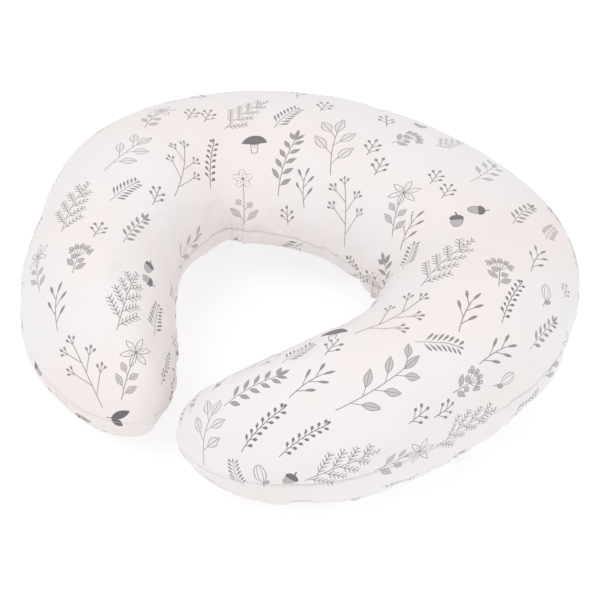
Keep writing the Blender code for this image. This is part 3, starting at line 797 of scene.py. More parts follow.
class Term:
    """A number that a material's nodes work out; it combines like a Python number."""

    def __init__(self, tree, socket):
        self.tree = tree
        self.socket = socket

    def op(self, operation, *others, clamp=False, first=None):
        node = self.tree.nodes.new("ShaderNodeMath")
        node.operation = operation
        node.use_clamp = clamp
        inputs = (self,) + others if first is None else (first, self) + others
        for target, value in zip(node.inputs, inputs):
            if isinstance(value, Term):
                self.tree.links.new(value.socket, target)
            else:
                target.default_value = value
        return Term(self.tree, node.outputs[0])

    def __add__(self, other):
        return self.op("ADD", other)

    __radd__ = __add__

    def __sub__(self, other):
        return self.op("SUBTRACT", other)

    def __rsub__(self, other):
        return self.op("SUBTRACT", first=other)

    def __mul__(self, other):
        return self.op("MULTIPLY", other)

    __rmul__ = __mul__

    def __truediv__(self, other):
        return self.op("DIVIDE", other)

    def __abs__(self):
        return self.op("ABSOLUTE")

    def low(self, *others):
        found = self
        for other in others:
            found = found.op("MINIMUM", other)
        return found

    def high(self, *others):
        found = self
        for other in others:
            found = found.op("MAXIMUM", other)
        return found

    def within(self, low, high):
        return self.high(low).low(high)

    def times_plus(self, factor, plus):
        return self.op("MULTIPLY_ADD", factor, plus)


def hypot(a, b):
    return a.times_plus(a, b * b).op("SQRT")


def ink(distance, strength=1.0, edge=0.32):
    """Ink where a distance is below 0, with an edge as soft as print on cotton."""
    return distance.op("MULTIPLY_ADD", -1 / edge, 0.5, clamp=True) * strength


def stroke(x, y, start, end, radius):
    """Distance to a line along x."""
    return hypot(x - x.within(start, end), y) - radius


def segment(x, y, a, b, radius):
    """Distance to the line from a to b."""
    ex, ey = b[0] - a[0], b[1] - a[1]
    size = ex * ex + ey * ey
    dx, dy = x - a[0], y - a[1]
    t = dx.times_plus(ex / size, dy * (ey / size)).within(0.0, 1.0)
    return hypot(dx.times_plus(1.0, t * -ex), dy.times_plus(1.0, t * -ey)) - radius


def turned(x, y, cx, cy, degrees):
    """Coordinates along and across a direction from a point."""
    c, s = math.cos(math.radians(degrees)), math.sin(math.radians(degrees))
    dx, dy = x - cx, y - cy
    return dx.times_plus(c, dy * s), dy.times_plus(c, dx * -s)


def rays(x, y, count, spread=360.0):
    """Folds the plane round the origin onto one ray: along it and beside it."""
    step = math.radians(spread) / count
    angle = y.op("ARCTAN2", x)
    number = (angle / step).op("ROUND")
    if spread < 360:
        number = number.within(-(count // 2), count // 2)
    angle = angle - number * step
    radius = hypot(x, y)
    return radius * angle.op("COSINE"), radius * angle.op("SINE")


class Blades:
    """Leaves up both sides of a stem along x, folded onto one leaf."""

    def __init__(
        self, x, y, start, pitch, count, angle, length,
        taper=0.0, alternate=0.0, bow=0.0, petiole=0.0,
    ):
        turn = math.radians(angle)
        side = abs(y)
        back = x - start - side / math.tan(turn)
        if bow:
            back = back + side * side * bow
        if alternate:
            back = back - y.op("GREATER_THAN", 0.0) * (alternate * pitch)
        number = (back / pitch).op("ROUND").within(0.0, count - 1.0)
        self.off = (back - number * pitch) * math.sin(turn)
        self.reach = number * (-length * taper) + length
        self.run = (side + self.off * math.cos(turn)) / math.sin(turn)
        self.along = (self.run - petiole) / (self.reach - petiole)

    def blade(self, width, shape="lens"):
        return abs(self.off) - profile(self.along, shape) * (width / 2)

    def rib(self, radius, end=0.9):
        return hypot(self.run - self.run.within(0.0, self.reach * end), self.off) - radius


def profile(a, shape):
    """Half width of a leaf along its midrib, from 0 to 1, as a share of its widest."""
    if shape == "drop":
        above = a.high(0.0)
        return above * above * (1 - above) * 6.75 - a.op("LESS_THAN", 0.0)
    lens = a * (1 - a) * 4.0
    if shape == "pointed":
        narrow = lens.high(0.0).op("POWER", 1.25) * (1.22 - a * 0.44)
        return narrow - lens.op("LESS_THAN", 0.0)
    if shape == "oval":
        return lens.high(0.0).op("POWER", 0.6) - lens.op("LESS_THAN", 0.0)
    return lens


def leaf(x, y, base, degrees, length, width, shape="lens"):
    """Distance to one leaf, and its own coordinates."""
    along, off = turned(x, y, base[0], base[1], degrees)
    a = along / length
    return abs(off) - profile(a, shape) * (width / 2), along, off


def veins(along, off, pitch, thickness):
    """Chevron veins of a leaf."""
    across = (along - abs(off) * 1.1) / pitch
    return abs(across - across.op("ROUND")) * pitch - thickness


def bent(x, y, length, sag):
    """Bends a drawing's stem sideways."""
    t = x / length
    return y - t * (1 - t) * (4 * sag)


def draw_fern(x, y):
    leaves = Blades(x, y, 6, 5.4, 7, 50, 14.5, taper=0.055, alternate=0.35, petiole=0.8)
    tip, along, off = leaf(x, y, (40, 0), 0, 7, 2.4, "drop")
    return ink(leaves.blade(2.5, "drop").low(stroke(x, y, 0, 43, 0.42), tip), 0.76)


def draw_leaf_branch(x, y):
    leaves = Blades(x, y, 10, 12.5, 5, 47, 16.5, taper=0.04, alternate=0.5, petiole=1.6)
    tip, along, off = leaf(x, y, (68, 0), 14, 15, 4.4)
    low_tip, along, off = leaf(x, y, (67, 0), -30, 12, 4.2)
    body = leaves.blade(5.0, "pointed").low(tip, low_tip)
    drawn = ink(body, 0.70) * (1 - ink(leaves.rib(0.2, 0.7), 0.45))
    return drawn.high(ink(stroke(x, y, 0, 69, 0.45).low(leaves.rib(0.4, 0.3)), 0.76))


def draw_slim_sprig(x, y):
    leaves = Blades(x, y, 7, 7.8, 7, 46, 8.6, taper=0.02, alternate=0.45, petiole=1.2)
    tip, along, off = leaf(x, y, (59, 0), 20, 6.5, 2.8, "drop")
    body = leaves.blade(3.2, "drop").low(tip, leaves.rib(0.34, 0.4))
    return ink(body.low(stroke(x, y, 0, 61, 0.45)), 0.86)


def veined(x, y, length, start, pitch, count, angle, reach, width, petiole, fill):
    """Outlined leaves with veins on thin stalks."""
    leaves = Blades(
        x, y, start, pitch, count, angle, reach, taper=0.08, alternate=0.5,
        bow=0.006, petiole=petiole,
    )
    size = reach - petiole
    blade = leaves.blade(width, "pointed")
    tip, along, off = leaf(x, y, (length - size, 0), 0, size, width, "pointed")
    body = blade.low(tip)
    ribs = veins(leaves.run, leaves.off, 3.2, 0.24).high(blade)
    ribs = ribs.low(veins(along, off, 3.2, 0.24).high(tip))
    lines = (abs(body) - 0.38).low(stroke(x, y, 0, length - 3, 0.42), leaves.rib(0.34))
    drawn = ink(lines, 0.76).high(ink(ribs, 0.60))
    return drawn.high(ink(body, fill)) if fill else drawn


def draw_veined_branch(x, y):
    return veined(x, y, 78, 16, 22, 2, 40, 31, 8.6, 9, 0.0)


def draw_grey_leaf_branch(x, y):
    return veined(x, y, 92, 14, 24, 3, 38, 29, 6.4, 9, 0.36)


def draw_fir_sprig(x, y):
    twigs = Blades(x, y, 4, 15.5, 4, 40, 26, taper=0.14, alternate=0.5)
    side = abs(twigs.off)
    back = twigs.run - side * 1.0
    number = (back / 4.6).op("ROUND").high(1.0)
    needle = (abs(back - number * 4.6) * 0.71 - 0.46).high(side - 4.0)
    needle = needle.high(twigs.run - twigs.reach - 1.5)
    crest = Blades(x, y, 56, 5.0, 4, 42, 6.5, taper=0.08, alternate=0.5)
    drawn = needle.low(twigs.rib(0.4, 1.0), stroke(x, y, 0, 76, 0.42))
    return ink(drawn.low(crest.blade(1.3, "drop")), 0.78)


def draw_bud_twig(x, y):
    twigs = Blades(x, y, 12, 24, 2, 36, 31, taper=0.16, alternate=0.45)
    end = twigs.run - twigs.reach
    side = abs(twigs.off)
    tip_x, tip_y = x - 76.0, abs(y)
    buds = hypot(end * 0.62, twigs.off) - 1.35
    buds = buds.low(turned_bud(end, side), hypot(tip_x * 0.62, y) - 1.35)
    buds = buds.low(turned_bud(tip_x, tip_y))
    stalks = segment(end, side, (-9.0, 0), (-3.8, 3.2), 0.34)
    stalks = stalks.low(segment(tip_x, tip_y, (-9.0, 0), (-3.8, 3.2), 0.34))
    lines = twigs.rib(0.4, 1.0).low(stroke(x, y, 0, 76, 0.45), stalks)
    return ink(lines, 0.76).high(ink(buds, 0.74))


def turned_bud(along, side):
    """A bud that leans away from its twig."""
    run, off = turned(along, side, -2.8, 3.9, 34)
    return hypot(run * 0.62, off) - 1.3


def draw_berry_sprig(x, y):
    twigs = Blades(x, y, 4, 8.0, 2, 46, 10.0, taper=0.1, alternate=0.3)
    end = twigs.run - twigs.reach
    berries = (hypot(end * 0.72, twigs.off) - 1.65).low(hypot(x * 0.72 - 17.6, y) - 1.65)
    lines = twigs.rib(0.45, 1.0).low(stroke(x, y, 0, 23, 0.48))
    return ink(lines, 0.78).high(ink(berries, 0.78))


def draw_reed_twig(x, y):
    leaves = Blades(x, y, 8, 15, 2, 34, 20, taper=0.05, alternate=0.5, petiole=5)
    tip, along, off = leaf(x, y, (34, 0), -6, 16, 2.8, "drop")
    body = leaves.blade(3.0, "drop").low(tip, leaves.rib(0.42, 0.6))
    return ink(body.low(stroke(x, y, 0, 36, 0.48)), 0.76)


def draw_umbel(x, y):
    along, off = rays(x - 19.0, y, 5, 125.0)
    side = abs(off)
    heads = (hypot(along - 14.0, off) - 1.75).low(hypot(along - 10.6, side - 2.4) - 1.5)
    stalks = stroke(along, off, 0, 13, 0.32)
    leaves = Blades(x, y, 3, 8, 2, 50, 14, taper=0.3, alternate=0.5, petiole=2)
    blade = leaves.blade(5.2, "pointed")
    drawn = ink((abs(heads) - 0.42).low(stalks, stroke(x, y, 0, 19, 0.42)), 0.78)
    return drawn.high(ink(heads, 0.3), ink(blade, 0.5), ink(abs(blade) - 0.36, 0.74))


def draw_flower_sprig(x, y):
    along, off = rays(x - 49.0, y, 6)
    petal = abs(off) - profile(along / 16.0, "lens") * 2.7
    lines = (abs(petal) - 0.38).low(stroke(along, off, 2, 8, 0.25))
    heart = hypot(x - 49.0, y) - 1.7
    leaves = Blades(x, y, 5, 14, 2, 44, 17, taper=0.15, alternate=0.4, petiole=3.5)
    blade = leaves.blade(5.8, "pointed")
    ribs = veins(leaves.run, leaves.off, 3.0, 0.2).high(blade)
    lines = lines.low(stroke(x, y, 0, 47, 0.42), heart, leaves.rib(0.32, 0.8))
    drawn = ink(lines, 0.78).high(ink(ribs, 0.6))
    return drawn.high(ink(blade, 0.32), ink(abs(blade) - 0.36, 0.74))


def draw_open_flower(x, y):
    along, off = rays(x - 62.0, y, 5)
    petal = abs(off) - profile(along / 13.5, "oval") * 4.0
    lines = (abs(petal) - 0.36).low(stroke(along, off, 1.5, 8, 0.26))
    heart = hypot(x - 62.0, y) - 1.9
    leaves = Blades(x, y, 3, 17, 2, 48, 25, taper=0.42, alternate=0.25, petiole=6)
    blade = leaves.blade(7.6, "pointed")
    ribs = veins(leaves.run, leaves.off, 3.2, 0.24).high(blade)
    lines = lines.low(stroke(x, y, 0, 58, 0.45), heart, leaves.rib(0.34, 0.85))
    drawn = ink(lines, 0.8).high(ink(ribs, 0.62))
    return drawn.high(ink(blade, 0.26), ink(abs(blade) - 0.36, 0.76))


def hatch(x, y, pitch, thickness):
    """Two crossed sets of fine pale lines."""
    first, second = (x + y) / pitch, (x - y) / pitch
    first = abs(first - first.op("ROUND"))
    second = abs(second - second.op("ROUND"))
    return first.low(second) * pitch - thickness


def draw_acorn(x, y):
    nut = hypot(x - 8.0, y * 1.5) - 8.0
    cap = hypot((x - 10.5) * 1.15, y * 0.82) - 5.4
    lower = nut.high(x - 10.0)
    upper = cap.high(9.0 - x)
    scales = 1 - ink(hatch(x, y, 2.2, 0.12), 0.45)
    drawn = ink(upper, 1.0) * scales
    stalk = segment(x, y, (15, 0), (18.5, 1.2), 0.6)
    drawn = drawn.high(ink(abs(lower) - 0.4, 0.85), ink(lower, 0.5))
    return drawn.high(ink(stalk, 1.0))


def draw_mushroom(x, y):
    top = (hypot(x - 12.0, y * 0.92) - 13.5).high(13.0 - x + abs(y) * 0.12)
    wobble = (y * 1.3).op("SINE") * 0.5
    stem = abs(y) - (x - 12.0) * 0.12 - 4.2
    stem = stem.high(x - 13.0).high(1.5 - x)
    scales = 1 - ink(hatch(x + wobble, y, 3.0, 0.22), 0.42)
    gills = y / 2.0
    gills = (abs(gills - gills.op("ROUND")) * 2.0 - 0.25).high(stem, 8.5 - x)
    drawn = ink(top, 1.0) * scales
    return drawn.high(ink(abs(stem) - 0.4, 0.85), ink(gills, 0.7))


def draw_dark_leaf(x, y):
    upper, along, off = leaf(x, y, (4, 0), 28, 20, 8.5)
    lower, run, side = leaf(x, y, (4, 0), -38, 14, 8.0)
    lines = veins(along, off, 2.6, 0.2).high(upper)
    lines = lines.low(veins(run, side, 2.6, 0.2).high(lower))
    drawn = ink(upper.low(lower), 1.0) * (1 - ink(lines, 0.35))
    return drawn.high(ink(stroke(x, y, 0, 5, 0.5), 0.9))


def draw_seed_pod(x, y):
    body, along, off = leaf(x, y, (9, 0), 0, 19, 11, "oval")
    ribs = abs(abs(off) - profile(along / 19.0, "oval") * 2.4) - 0.3
    lines = (abs(body) - 0.42).low(ribs.high(body), segment(x, y, (0, 2), (9, 0), 0.42))
    leaflet, along, off = leaf(x, y, (4, 1), -48, 11, 5)
    return ink(lines, 0.8).high(ink(leaflet, 0.6))


# Each motif: how it is drawn, the drawing's length and width, and over what length its
# stem bends and how far, all in millimetres
KINDS = {
    "fern": (draw_fern, 48, 23, (46, 1.8)),
    "leaf_branch": (draw_leaf_branch, 85, 29, (84, 4.0)),
    "slim_sprig": (draw_slim_sprig, 67, 18, (65, 3.5)),
    "veined_branch": (draw_veined_branch, 78, 44, (78, 4.0)),
    "grey_leaf_branch": (draw_grey_leaf_branch, 92, 40, (92, -4.0)),
    "fir_sprig": (draw_fir_sprig, 78, 42, (76, 3.0)),
    "bud_twig": (draw_bud_twig, 80, 46, (78, -4.0)),
    "berry_sprig": (draw_berry_sprig, 28, 19),
    "reed_twig": (draw_reed_twig, 50, 24, (50, 3.0)),
    "umbel": (draw_umbel, 36, 32),
    "flower_sprig": (draw_flower_sprig, 66, 35, (66, 3.0)),
    "open_flower": (draw_open_flower, 77, 40, (76, -3.0)),
    "acorn": (draw_acorn, 20, 14),
    "mushroom": (draw_mushroom, 27, 30),
    "seed_pod": (draw_seed_pod, 28, 14),
    "dark_leaf": (draw_dark_leaf, 24, 20),
}

# Motifs of the visible top, by kind: x and y of the middle in centimetres, direction in
# degrees from +X, length in millimetres
LAYOUT = {
    "veined_branch": ((-18.8, -1.2, 80, 68), (-2.4, 12.9, 111, 84), (5.9, -24.2, 84, 66)),
    "bud_twig": (
        (-14.0, 1.2, 122, 75), (-8.1, -24.2, 122, 78), (1.7, 6.9, 106, 76),
        (15.3, -6.9, 68, 88),
    ),
    "slim_sprig": (
        (-12.4, 4.6, 125, 62), (23.6, 1.1, 98, 62), (11.2, -22.5, 78, 62),
        (14.7, -21.6, 77, 58), (-2.4, -18.5, 105, 44),
    ),
    "mushroom": ((-10.0, 8.6, 120, 25), (11.7, -11.5, 118, 25)),
    "leaf_branch": (
        (-5.9, 8.8, 102, 82), (-25.0, 4.0, 85, 52), (-12.5, -8.8, 90, 58),
        (18.5, 14.1, 86, 62), (27.0, 1.8, 80, 56), (8.7, -20.2, 50, 74),
    ),
    "fern": (
        (-9.2, 13.5, 84, 46), (-16.2, -5.6, 80, 42), (-5.5, -15.5, 120, 42),
        (11.5, 3.2, 103, 44), (21.4, 13.9, 88, 38), (21.0, -7.7, 30, 46),
        (10.1, -15.2, 74, 40), (9.9, -26.6, 105, 34),
    ),
    "fir_sprig": (
        (-13.3, 12.5, 79, 68), (-7.9, -16.6, 112, 76), (-19.1, -10.0, 104, 74),
        (6.8, 19.9, 70, 45), (15.8, 2.3, 83, 88), (18.2, -20.6, 93, 74),
        (26.4, -10.6, 79, 74),
    ),
    "berry_sprig": (
        (-18.0, 8.8, 105, 26), (-16.2, 9.5, 105, 26), (-13.6, -3.6, 112, 26),
        (-3.8, 4.9, 110, 22), (-14.8, -11.6, 105, 26), (0.9, 14.2, 96, 28),
        (3.0, 12.2, 96, 28), (8.9, 13.4, 92, 26), (10.8, 12.1, 92, 26),
        (-0.5, 19.0, 118, 28), (-7.3, 18.0, 100, 28), (26.0, 8.0, 110, 20),
        (12.5, -13.2, 90, 28), (22.0, -13.9, 90, 26), (23.4, -11.6, 90, 26),
    ),
    "flower_sprig": (
        (-20.6, 6.3, 100, 60), (-18.3, -17.2, 118, 60), (-3.9, -21.9, 115, 62),
        (7.5, 8.2, 98, 68), (22.2, -16.3, 79, 64),
    ),
    "grey_leaf_branch": (
        (-10.3, -4.3, 100, 64), (12.0, 17.8, 88, 65), (17.9, -14.3, 71, 94),
    ),
    "open_flower": ((-8.6, 3.9, 116, 60),),
    "reed_twig": (
        (-3.0, 7.2, 110, 44), (-13.2, -20.4, 106, 50), (9.7, 6.3, 84, 48),
        (22.6, 8.3, 92, 46), (21.0, -3.0, 98, 52), (25.0, -4.3, 66, 50),
        (13.2, -17.9, 64, 48),
    ),
    "umbel": (
        (-14.5, -15.9, 105, 36), (3.1, 17.2, 60, 36), (21.2, 3.2, 115, 40),
        (24.0, -8.6, 70, 36),
    ),
    "acorn": (
        (-9.3, -11.3, 100, 18), (-8.3, -13.0, 20, 18), (13.6, 8.7, 118, 23),
        (14.9, 11.3, 30, 23), (14.9, -24.2, 112, 20),
    ),
    "seed_pod": ((25.4, 4.7, 118, 28), (12.2, -25.2, 110, 28), (26.2, -4.9, 80, 26)),
    "dark_leaf": ((-3.3, -25.4, 20, 24),),
}

# What fills the rest: kinds, shortest and longest in millimetres, tries, spare room
LARGE_KINDS = ("leaf_branch", "fir_sprig", "bud_twig", "flower_sprig", "veined_branch")
MEDIUM_KINDS = ("fern", "reed_twig", "umbel", "slim_sprig")
SMALL_KINDS = ("berry_sprig", "berry_sprig", "seed_pod", "acorn", "fern")
SCATTER = (
    (LARGE_KINDS, 58, 76, 900, 0.004),
    (MEDIUM_KINDS, 38, 52, 1400, 0.003),
    (SMALL_KINDS, 20, 28, 2500, 0.002),
)


# ---------------------------------------------------------------- materials


COTTON = {
    "Roughness": 0.88,
    "Specular IOR Level": 0.25,
    "Sheen Weight": 0.18,
    "Sheen Roughness": 0.55,
}
# Two tones, the grain's scale, roughness, bump in metres, then stretch and metal
TONES = {
    "thread": ((0.70, 0.66, 0.64), (0.80, 0.76, 0.74), 900, 0.75, 0.0001),
    "tape": ((0.74, 0.71, 0.69), (0.82, 0.79, 0.77), 1400, 0.85, 0.0001),
    "nylon": ((0.78, 0.77, 0.75), (0.86, 0.85, 0.83), 500, 0.45, 0.00002),
    "satin": ((0.84, 0.84, 0.83), (0.91, 0.91, 0.90), 700, 0.5, 0.00005),
    "lawn": ((0.80, 0.80, 0.79), (0.88, 0.88, 0.87), 1200, 0.9, 0.0001),
    "fibre": ((0.86, 0.86, 0.86), (0.94, 0.94, 0.94), 160, 0.95, 0.0010),
    "nickel": ((0.62, 0.60, 0.57), (0.74, 0.72, 0.69), 350, 0.32, 0.00003, (1, 1, 6), 1.0),
}


def new_material(name):
    material = bpy.data.materials.new(name)
    material.use_nodes = True
    tree = material.node_tree
    return material, tree, tree.nodes["Principled BSDF"]


def node(tree, kind, **settings):
    made = tree.nodes.new(kind)
    for key, value in settings.items():
        if key in made.inputs:
            made.inputs[key].default_value = value
        else:
            setattr(made, key, value)
    return made


def set_inputs(shader, values):
    for key, value in values.items():
        shader.inputs[key].default_value = value


def noise(tree, vector, scale, detail, roughness=0.6):
    made = node(
        tree, "ShaderNodeTexNoise", Scale=scale, Detail=detail, Roughness=roughness
    )
    tree.links.new(vector, made.inputs["Vector"])
    return made.outputs["Fac"]


def two_tones(tree, factor, low, high, start, end):
    """A colour that goes from low to high as the factor goes from start to end."""
    ramp = tree.nodes.new("ShaderNodeValToRGB")
    for element, place, colour in zip(
        ramp.color_ramp.elements, (start, end), (low, high)
    ):
        element.position = place
        element.color = (*colour, 1)
    tree.links.new(factor, ramp.inputs["Fac"])
    return ramp.outputs["Color"]


def cotton_group():
    """Printed cotton: colour from how much ink there is, and the weave's bump."""
    tree = bpy.data.node_groups.new("Printed cotton", "ShaderNodeTree")
    face = tree.interface
    face.new_socket("Ink", in_out="INPUT", socket_type="NodeSocketFloat")
    face.new_socket("Color", in_out="OUTPUT", socket_type="NodeSocketColor")
    face.new_socket("Normal", in_out="OUTPUT", socket_type="NodeSocketVector")
    link = tree.links.new
    given = tree.nodes.new("NodeGroupInput")
    result = tree.nodes.new("NodeGroupOutput")
    place = tree.nodes.new("ShaderNodeTexCoord").outputs["Object"]
    cloth = node(tree, "ShaderNodeUVMap", uv_map="Cloth")

    tint = noise(tree, place, TINT_SCALE, 3.0, 0.55)
    cotton = two_tones(tree, tint, COTTON_WARM, COTTON_COOL, *TINT_RANGE)
    threads = []
    for stretch in ((1.0, THREAD_STRETCH, 1.0), (THREAD_STRETCH, 1.0, 1.0)):
        scaled = node(tree, "ShaderNodeVectorMath", operation="MULTIPLY")
        scaled.inputs[1].default_value = [
            THREAD_SCALE * s / THREAD_STRETCH for s in stretch
        ]
        link(cloth.outputs["UV"], scaled.inputs[0])
        threads.append(Term(tree, noise(tree, scaled.outputs[0], 1.0, 2.0)))
    weave = threads[0] + threads[1]
    slubs = Term(tree, noise(tree, place, SLUB_SCALE, 4.0))

    grey = tree.nodes.new("ShaderNodeCombineColor")
    for channel in grey.inputs:
        link(weave.times_plus(*WEAVE_SHADE).socket, channel)
    shaded = node(tree, "ShaderNodeMix", data_type="RGBA", blend_type="MULTIPLY")
    shaded.inputs["Factor"].default_value = 1.0
    link(cotton, shaded.inputs["A"])
    link(grey.outputs[0], shaded.inputs["B"])
    inked = node(tree, "ShaderNodeMix", data_type="RGBA")
    amount = Term(tree, given.outputs["Ink"]) * weave.times_plus(*WEAVE_INK).low(1.0)
    link(amount.socket, inked.inputs["Factor"])
    link(shaded.outputs["Result"], inked.inputs["A"])
    inked.inputs["B"].default_value = (*INK_COLOUR, 1)
    link(inked.outputs["Result"], result.inputs["Color"])

    height = weave * WEAVE_HEIGHT + slubs * SLUB_HEIGHT
    bump = node(tree, "ShaderNodeBump", Strength=0.55, Distance=1.0)
    link(height.socket, bump.inputs["Height"])
    link(bump.outputs["Normal"], result.inputs["Normal"])
    return tree


def cotton_material(name, group, drawing=None, length=0.0, bend=()):
    """Cotton with one motif of the print, or without any."""
    material, tree, shader = new_material(name)
    cotton = tree.nodes.new("ShaderNodeGroup")
    cotton.node_tree = group
    cotton.inputs["Ink"].default_value = 0.0
    if drawing:
        cloth = node(tree, "ShaderNodeUVMap", uv_map="Print")
        parts = tree.nodes.new("ShaderNodeSeparateXYZ")
        tree.links.new(cloth.outputs["UV"], parts.inputs[0])
        x = Term(tree, parts.outputs["X"]) + length / 2
        y = Term(tree, parts.outputs["Y"])
        y = bent(x, y, *bend) if bend else y
        tree.links.new(drawing(x, y).socket, cotton.inputs["Ink"])
    tree.links.new(cotton.outputs["Color"], shader.inputs["Base Color"])
    tree.links.new(cotton.outputs["Normal"], shader.inputs["Normal"])
    set_inputs(shader, COTTON)
    return material


def plain_material(name, low, high, scale, roughness, bump, stretch=(1, 1, 1), metal=0.0):
    """A procedural material: two tones, uneven roughness and a fine bump."""
    material, tree, shader = new_material(name)
    link = tree.links.new
    place = tree.nodes.new("ShaderNodeTexCoord")
    mapping = node(tree, "ShaderNodeMapping", Scale=stretch)
    link(place.outputs["Object"], mapping.inputs["Vector"])
    grain = noise(tree, mapping.outputs["Vector"], scale, 4.0)
    link(two_tones(tree, grain, low, high, 0.3, 0.7), shader.inputs["Base Color"])
    uneven = Term(tree, grain).times_plus(0.2, roughness - 0.1)
    link(uneven.socket, shader.inputs["Roughness"])
    raised = node(tree, "ShaderNodeBump", Strength=0.4, Distance=bump)
    link(grain, raised.inputs["Height"])
    link(raised.outputs["Normal"], shader.inputs["Normal"])
    shader.inputs["Metallic"].default_value = metal
    return material


def build_materials():
    group = cotton_group()
    found = {"plain": cotton_material("Cover cotton", group)}
    for kind, (drawing, length, width, *bend) in KINDS.items():
        name = "Cover cotton " + kind
        found[kind] = cotton_material(name, group, drawing, length, *bend)
    for key, values in TONES.items():
        found[key] = plain_material(key.capitalize(), *values)
    return found


# ---------------------------------------------------------------- pieces


def body_piece(name, mesh, materials, stands_for):
    """A piece that rides on the pillow and stands for one node of the part."""
    piece = add_piece(name, mesh, *materials)
    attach(piece, "pillow")
    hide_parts(stands_for)
    return piece


def thread_piece(name, shape, material, stands_for):
    body_piece(name, build_mesh(name, *shape), [material], stands_for)


def add_panel(name, side, materials, motifs, field):
    """One panel of the cover, with its hems and its part of the print."""
    grid, woven = with_hems(*field)
    rows, cols = grid.shape[:2]
    quads = grid_faces(rows, cols, side > 0)
    slots, drawn = print_on(grid, quads, motifs)
    faces, kept = closed_ends(rows, cols, quads)
    points, used, faces = compacted(grid, faces)
    mesh = build_mesh(name, points, faces)
    for layer, values in (
        ("OFBake", packed_strip(rows, cols, quads)),
        ("Cloth", woven.reshape(-1, 2)[quads]),
        ("Print", drawn),
    ):
        set_uv(mesh, layer, np.concatenate([values[i][spots] for i, spots in kept]))
    cottons = [materials[kind] for kind in ("plain", *KINDS)]
    piece = body_piece(name, mesh, cottons, name + "_panel")
    mesh.polygons.foreach_set("material_index", slots[[i for i, spots in kept]])
    return piece


def hidden_layer(side, depth, opening):
    """Points and faces of a layer under the cover, shaped like it."""
    points = cover_field(side, LAYER_STEP, LAYER_RING_STEPS, depth, opening)[0]
    rows, cols = points.shape[:2]
    faces, kept = closed_ends(rows, cols, grid_faces(rows, cols, side > 0))
    return points.reshape(-1, 3), faces


def add_filling(material):
    shape = joined([hidden_layer(side, FILLING_DEPTH, 0.0) for side in SIDES])
    mesh = build_mesh("filling", *shape)
    bm = bmesh.new()
    bm.from_mesh(mesh)
    bmesh.ops.remove_doubles(bm, verts=bm.verts, dist=FILLING_MERGE)
    loose = [vertex for vertex in bm.verts if not vertex.link_faces]
    bmesh.ops.delete(bm, geom=loose, context="VERTS")
    bmesh.ops.recalc_face_normals(bm, faces=bm.faces)
    bm.to_mesh(mesh)
    bm.free()
    mesh.shade_smooth()
    filling = body_piece("filling", mesh, [material], "fibre_filling")


def on_arc(angle, depth, height):
    """A point round the back: angle from +Y towards +X, depth inside the cover."""
    radius = OUTER_RADIUS - depth
    x, y = radius * np.sin(angle), radius * np.cos(angle) - MIDDLE_Y
    return np.stack((x, y, SEAM_HEIGHT + height + 0 * angle), axis=-1)


def cover_lean(height, side):
    """How far the cover's back has drawn in at a height above or below the seam."""
    tall = CROWNS[0] if side > 0 else UNDERSIDE_DEPTH
    return HALF_WIDTHS[0] * (1 - np.sqrt(1 - (height / tall) ** 2))


def seam_path(fields, depth, outer_from):
    """The seam line, with its outward vectors, from one side of the back to the other."""
    middle = (fields[1][0] + fields[-1][0]) / 2
    normals = fields[1][1] + fields[-1][1]
    distance = fields[1][2][:, 0, 0]
    right, left = distance > outer_from, distance < -outer_from
    path, away = (
        np.concatenate((grid[right, 0], grid[::-1, -1], grid[left, 0]))
        for grid in (middle, normals)
    )
    away = unit(away)
    keep = np.concatenate(([True], np.linalg.norm(np.diff(path, axis=0), axis=1) > 1e-5))
    return path[keep] - away[keep] * depth, away[keep]


def add_zip(materials):
    half_angle = (ZIP_LENGTH / 2 + TAPE_TAIL) / OUTER_RADIUS
    angle = np.linspace(-half_angle, half_angle, TAPE_GRID[0])[:, None]
    height = np.linspace(*TAPE_EDGES, TAPE_GRID[1])
    for name, side in (("upper", 1), ("lower", -1)):
        depth = TAPE_DEPTH + (cover_lean(height, side) + TAPE_LEAN)
        points = on_arc(angle + 0 * height, depth, side * height)
        piece_name = "zip_tape_" + name + "_woven"
        mesh = build_mesh(piece_name, points, grid_faces(*TAPE_GRID, side < 0))
        tape = body_piece(
            piece_name, mesh, [materials["tape"]], "zip_tape_" + name
        )
        add_coil(name, side, materials["nylon"])
        add_topstitch(name, side, materials["thread"])


def add_coil(name, side, material):
    """One side of the zip's coil, turn by turn."""
    end = (ZIP_LENGTH / 2 - ZIP_TAPER) / OUTER_RADIUS
    t = np.arange(COIL_TURNS * COIL_TURN_POINTS + 1) / COIL_TURN_POINTS
    phase = 2 * math.pi * (t + 0.5 * (side > 0))
    angle = -end + 2 * end * t / COIL_TURNS
    height = side * (COIL_MIDDLE - COIL_REACH * np.cos(phase))
    depth = COIL_DEPTH - COIL_THICKNESS * np.sin(phase)
    name = "zip_coil_" + name
    mesh = build_mesh(name, *joined([tube(on_arc(angle, depth, height), COIL_WIRE, 5)]))
    body_piece(name + "_turns", mesh, [material], name)


def add_topstitch(name, side, material):
    half = ZIP_LENGTH / 2 / OUTER_RADIUS
    angle = np.linspace(-half, half, TOPSTITCH_SAMPLES)
    height = ZIP_OPENING / 2 + TOPSTITCH_INSET
    path = on_arc(angle, cover_lean(height, side) - TOPSTITCH_PROUD, side * height)
    away = np.stack((np.sin(angle), np.cos(angle), 0 * angle), axis=-1)
    thread_piece(
        "zip_topstitches_" + name, stitches(path, away, TOPSTITCH_PITCH), material,
        "zip_topstitch_" + name,
    )


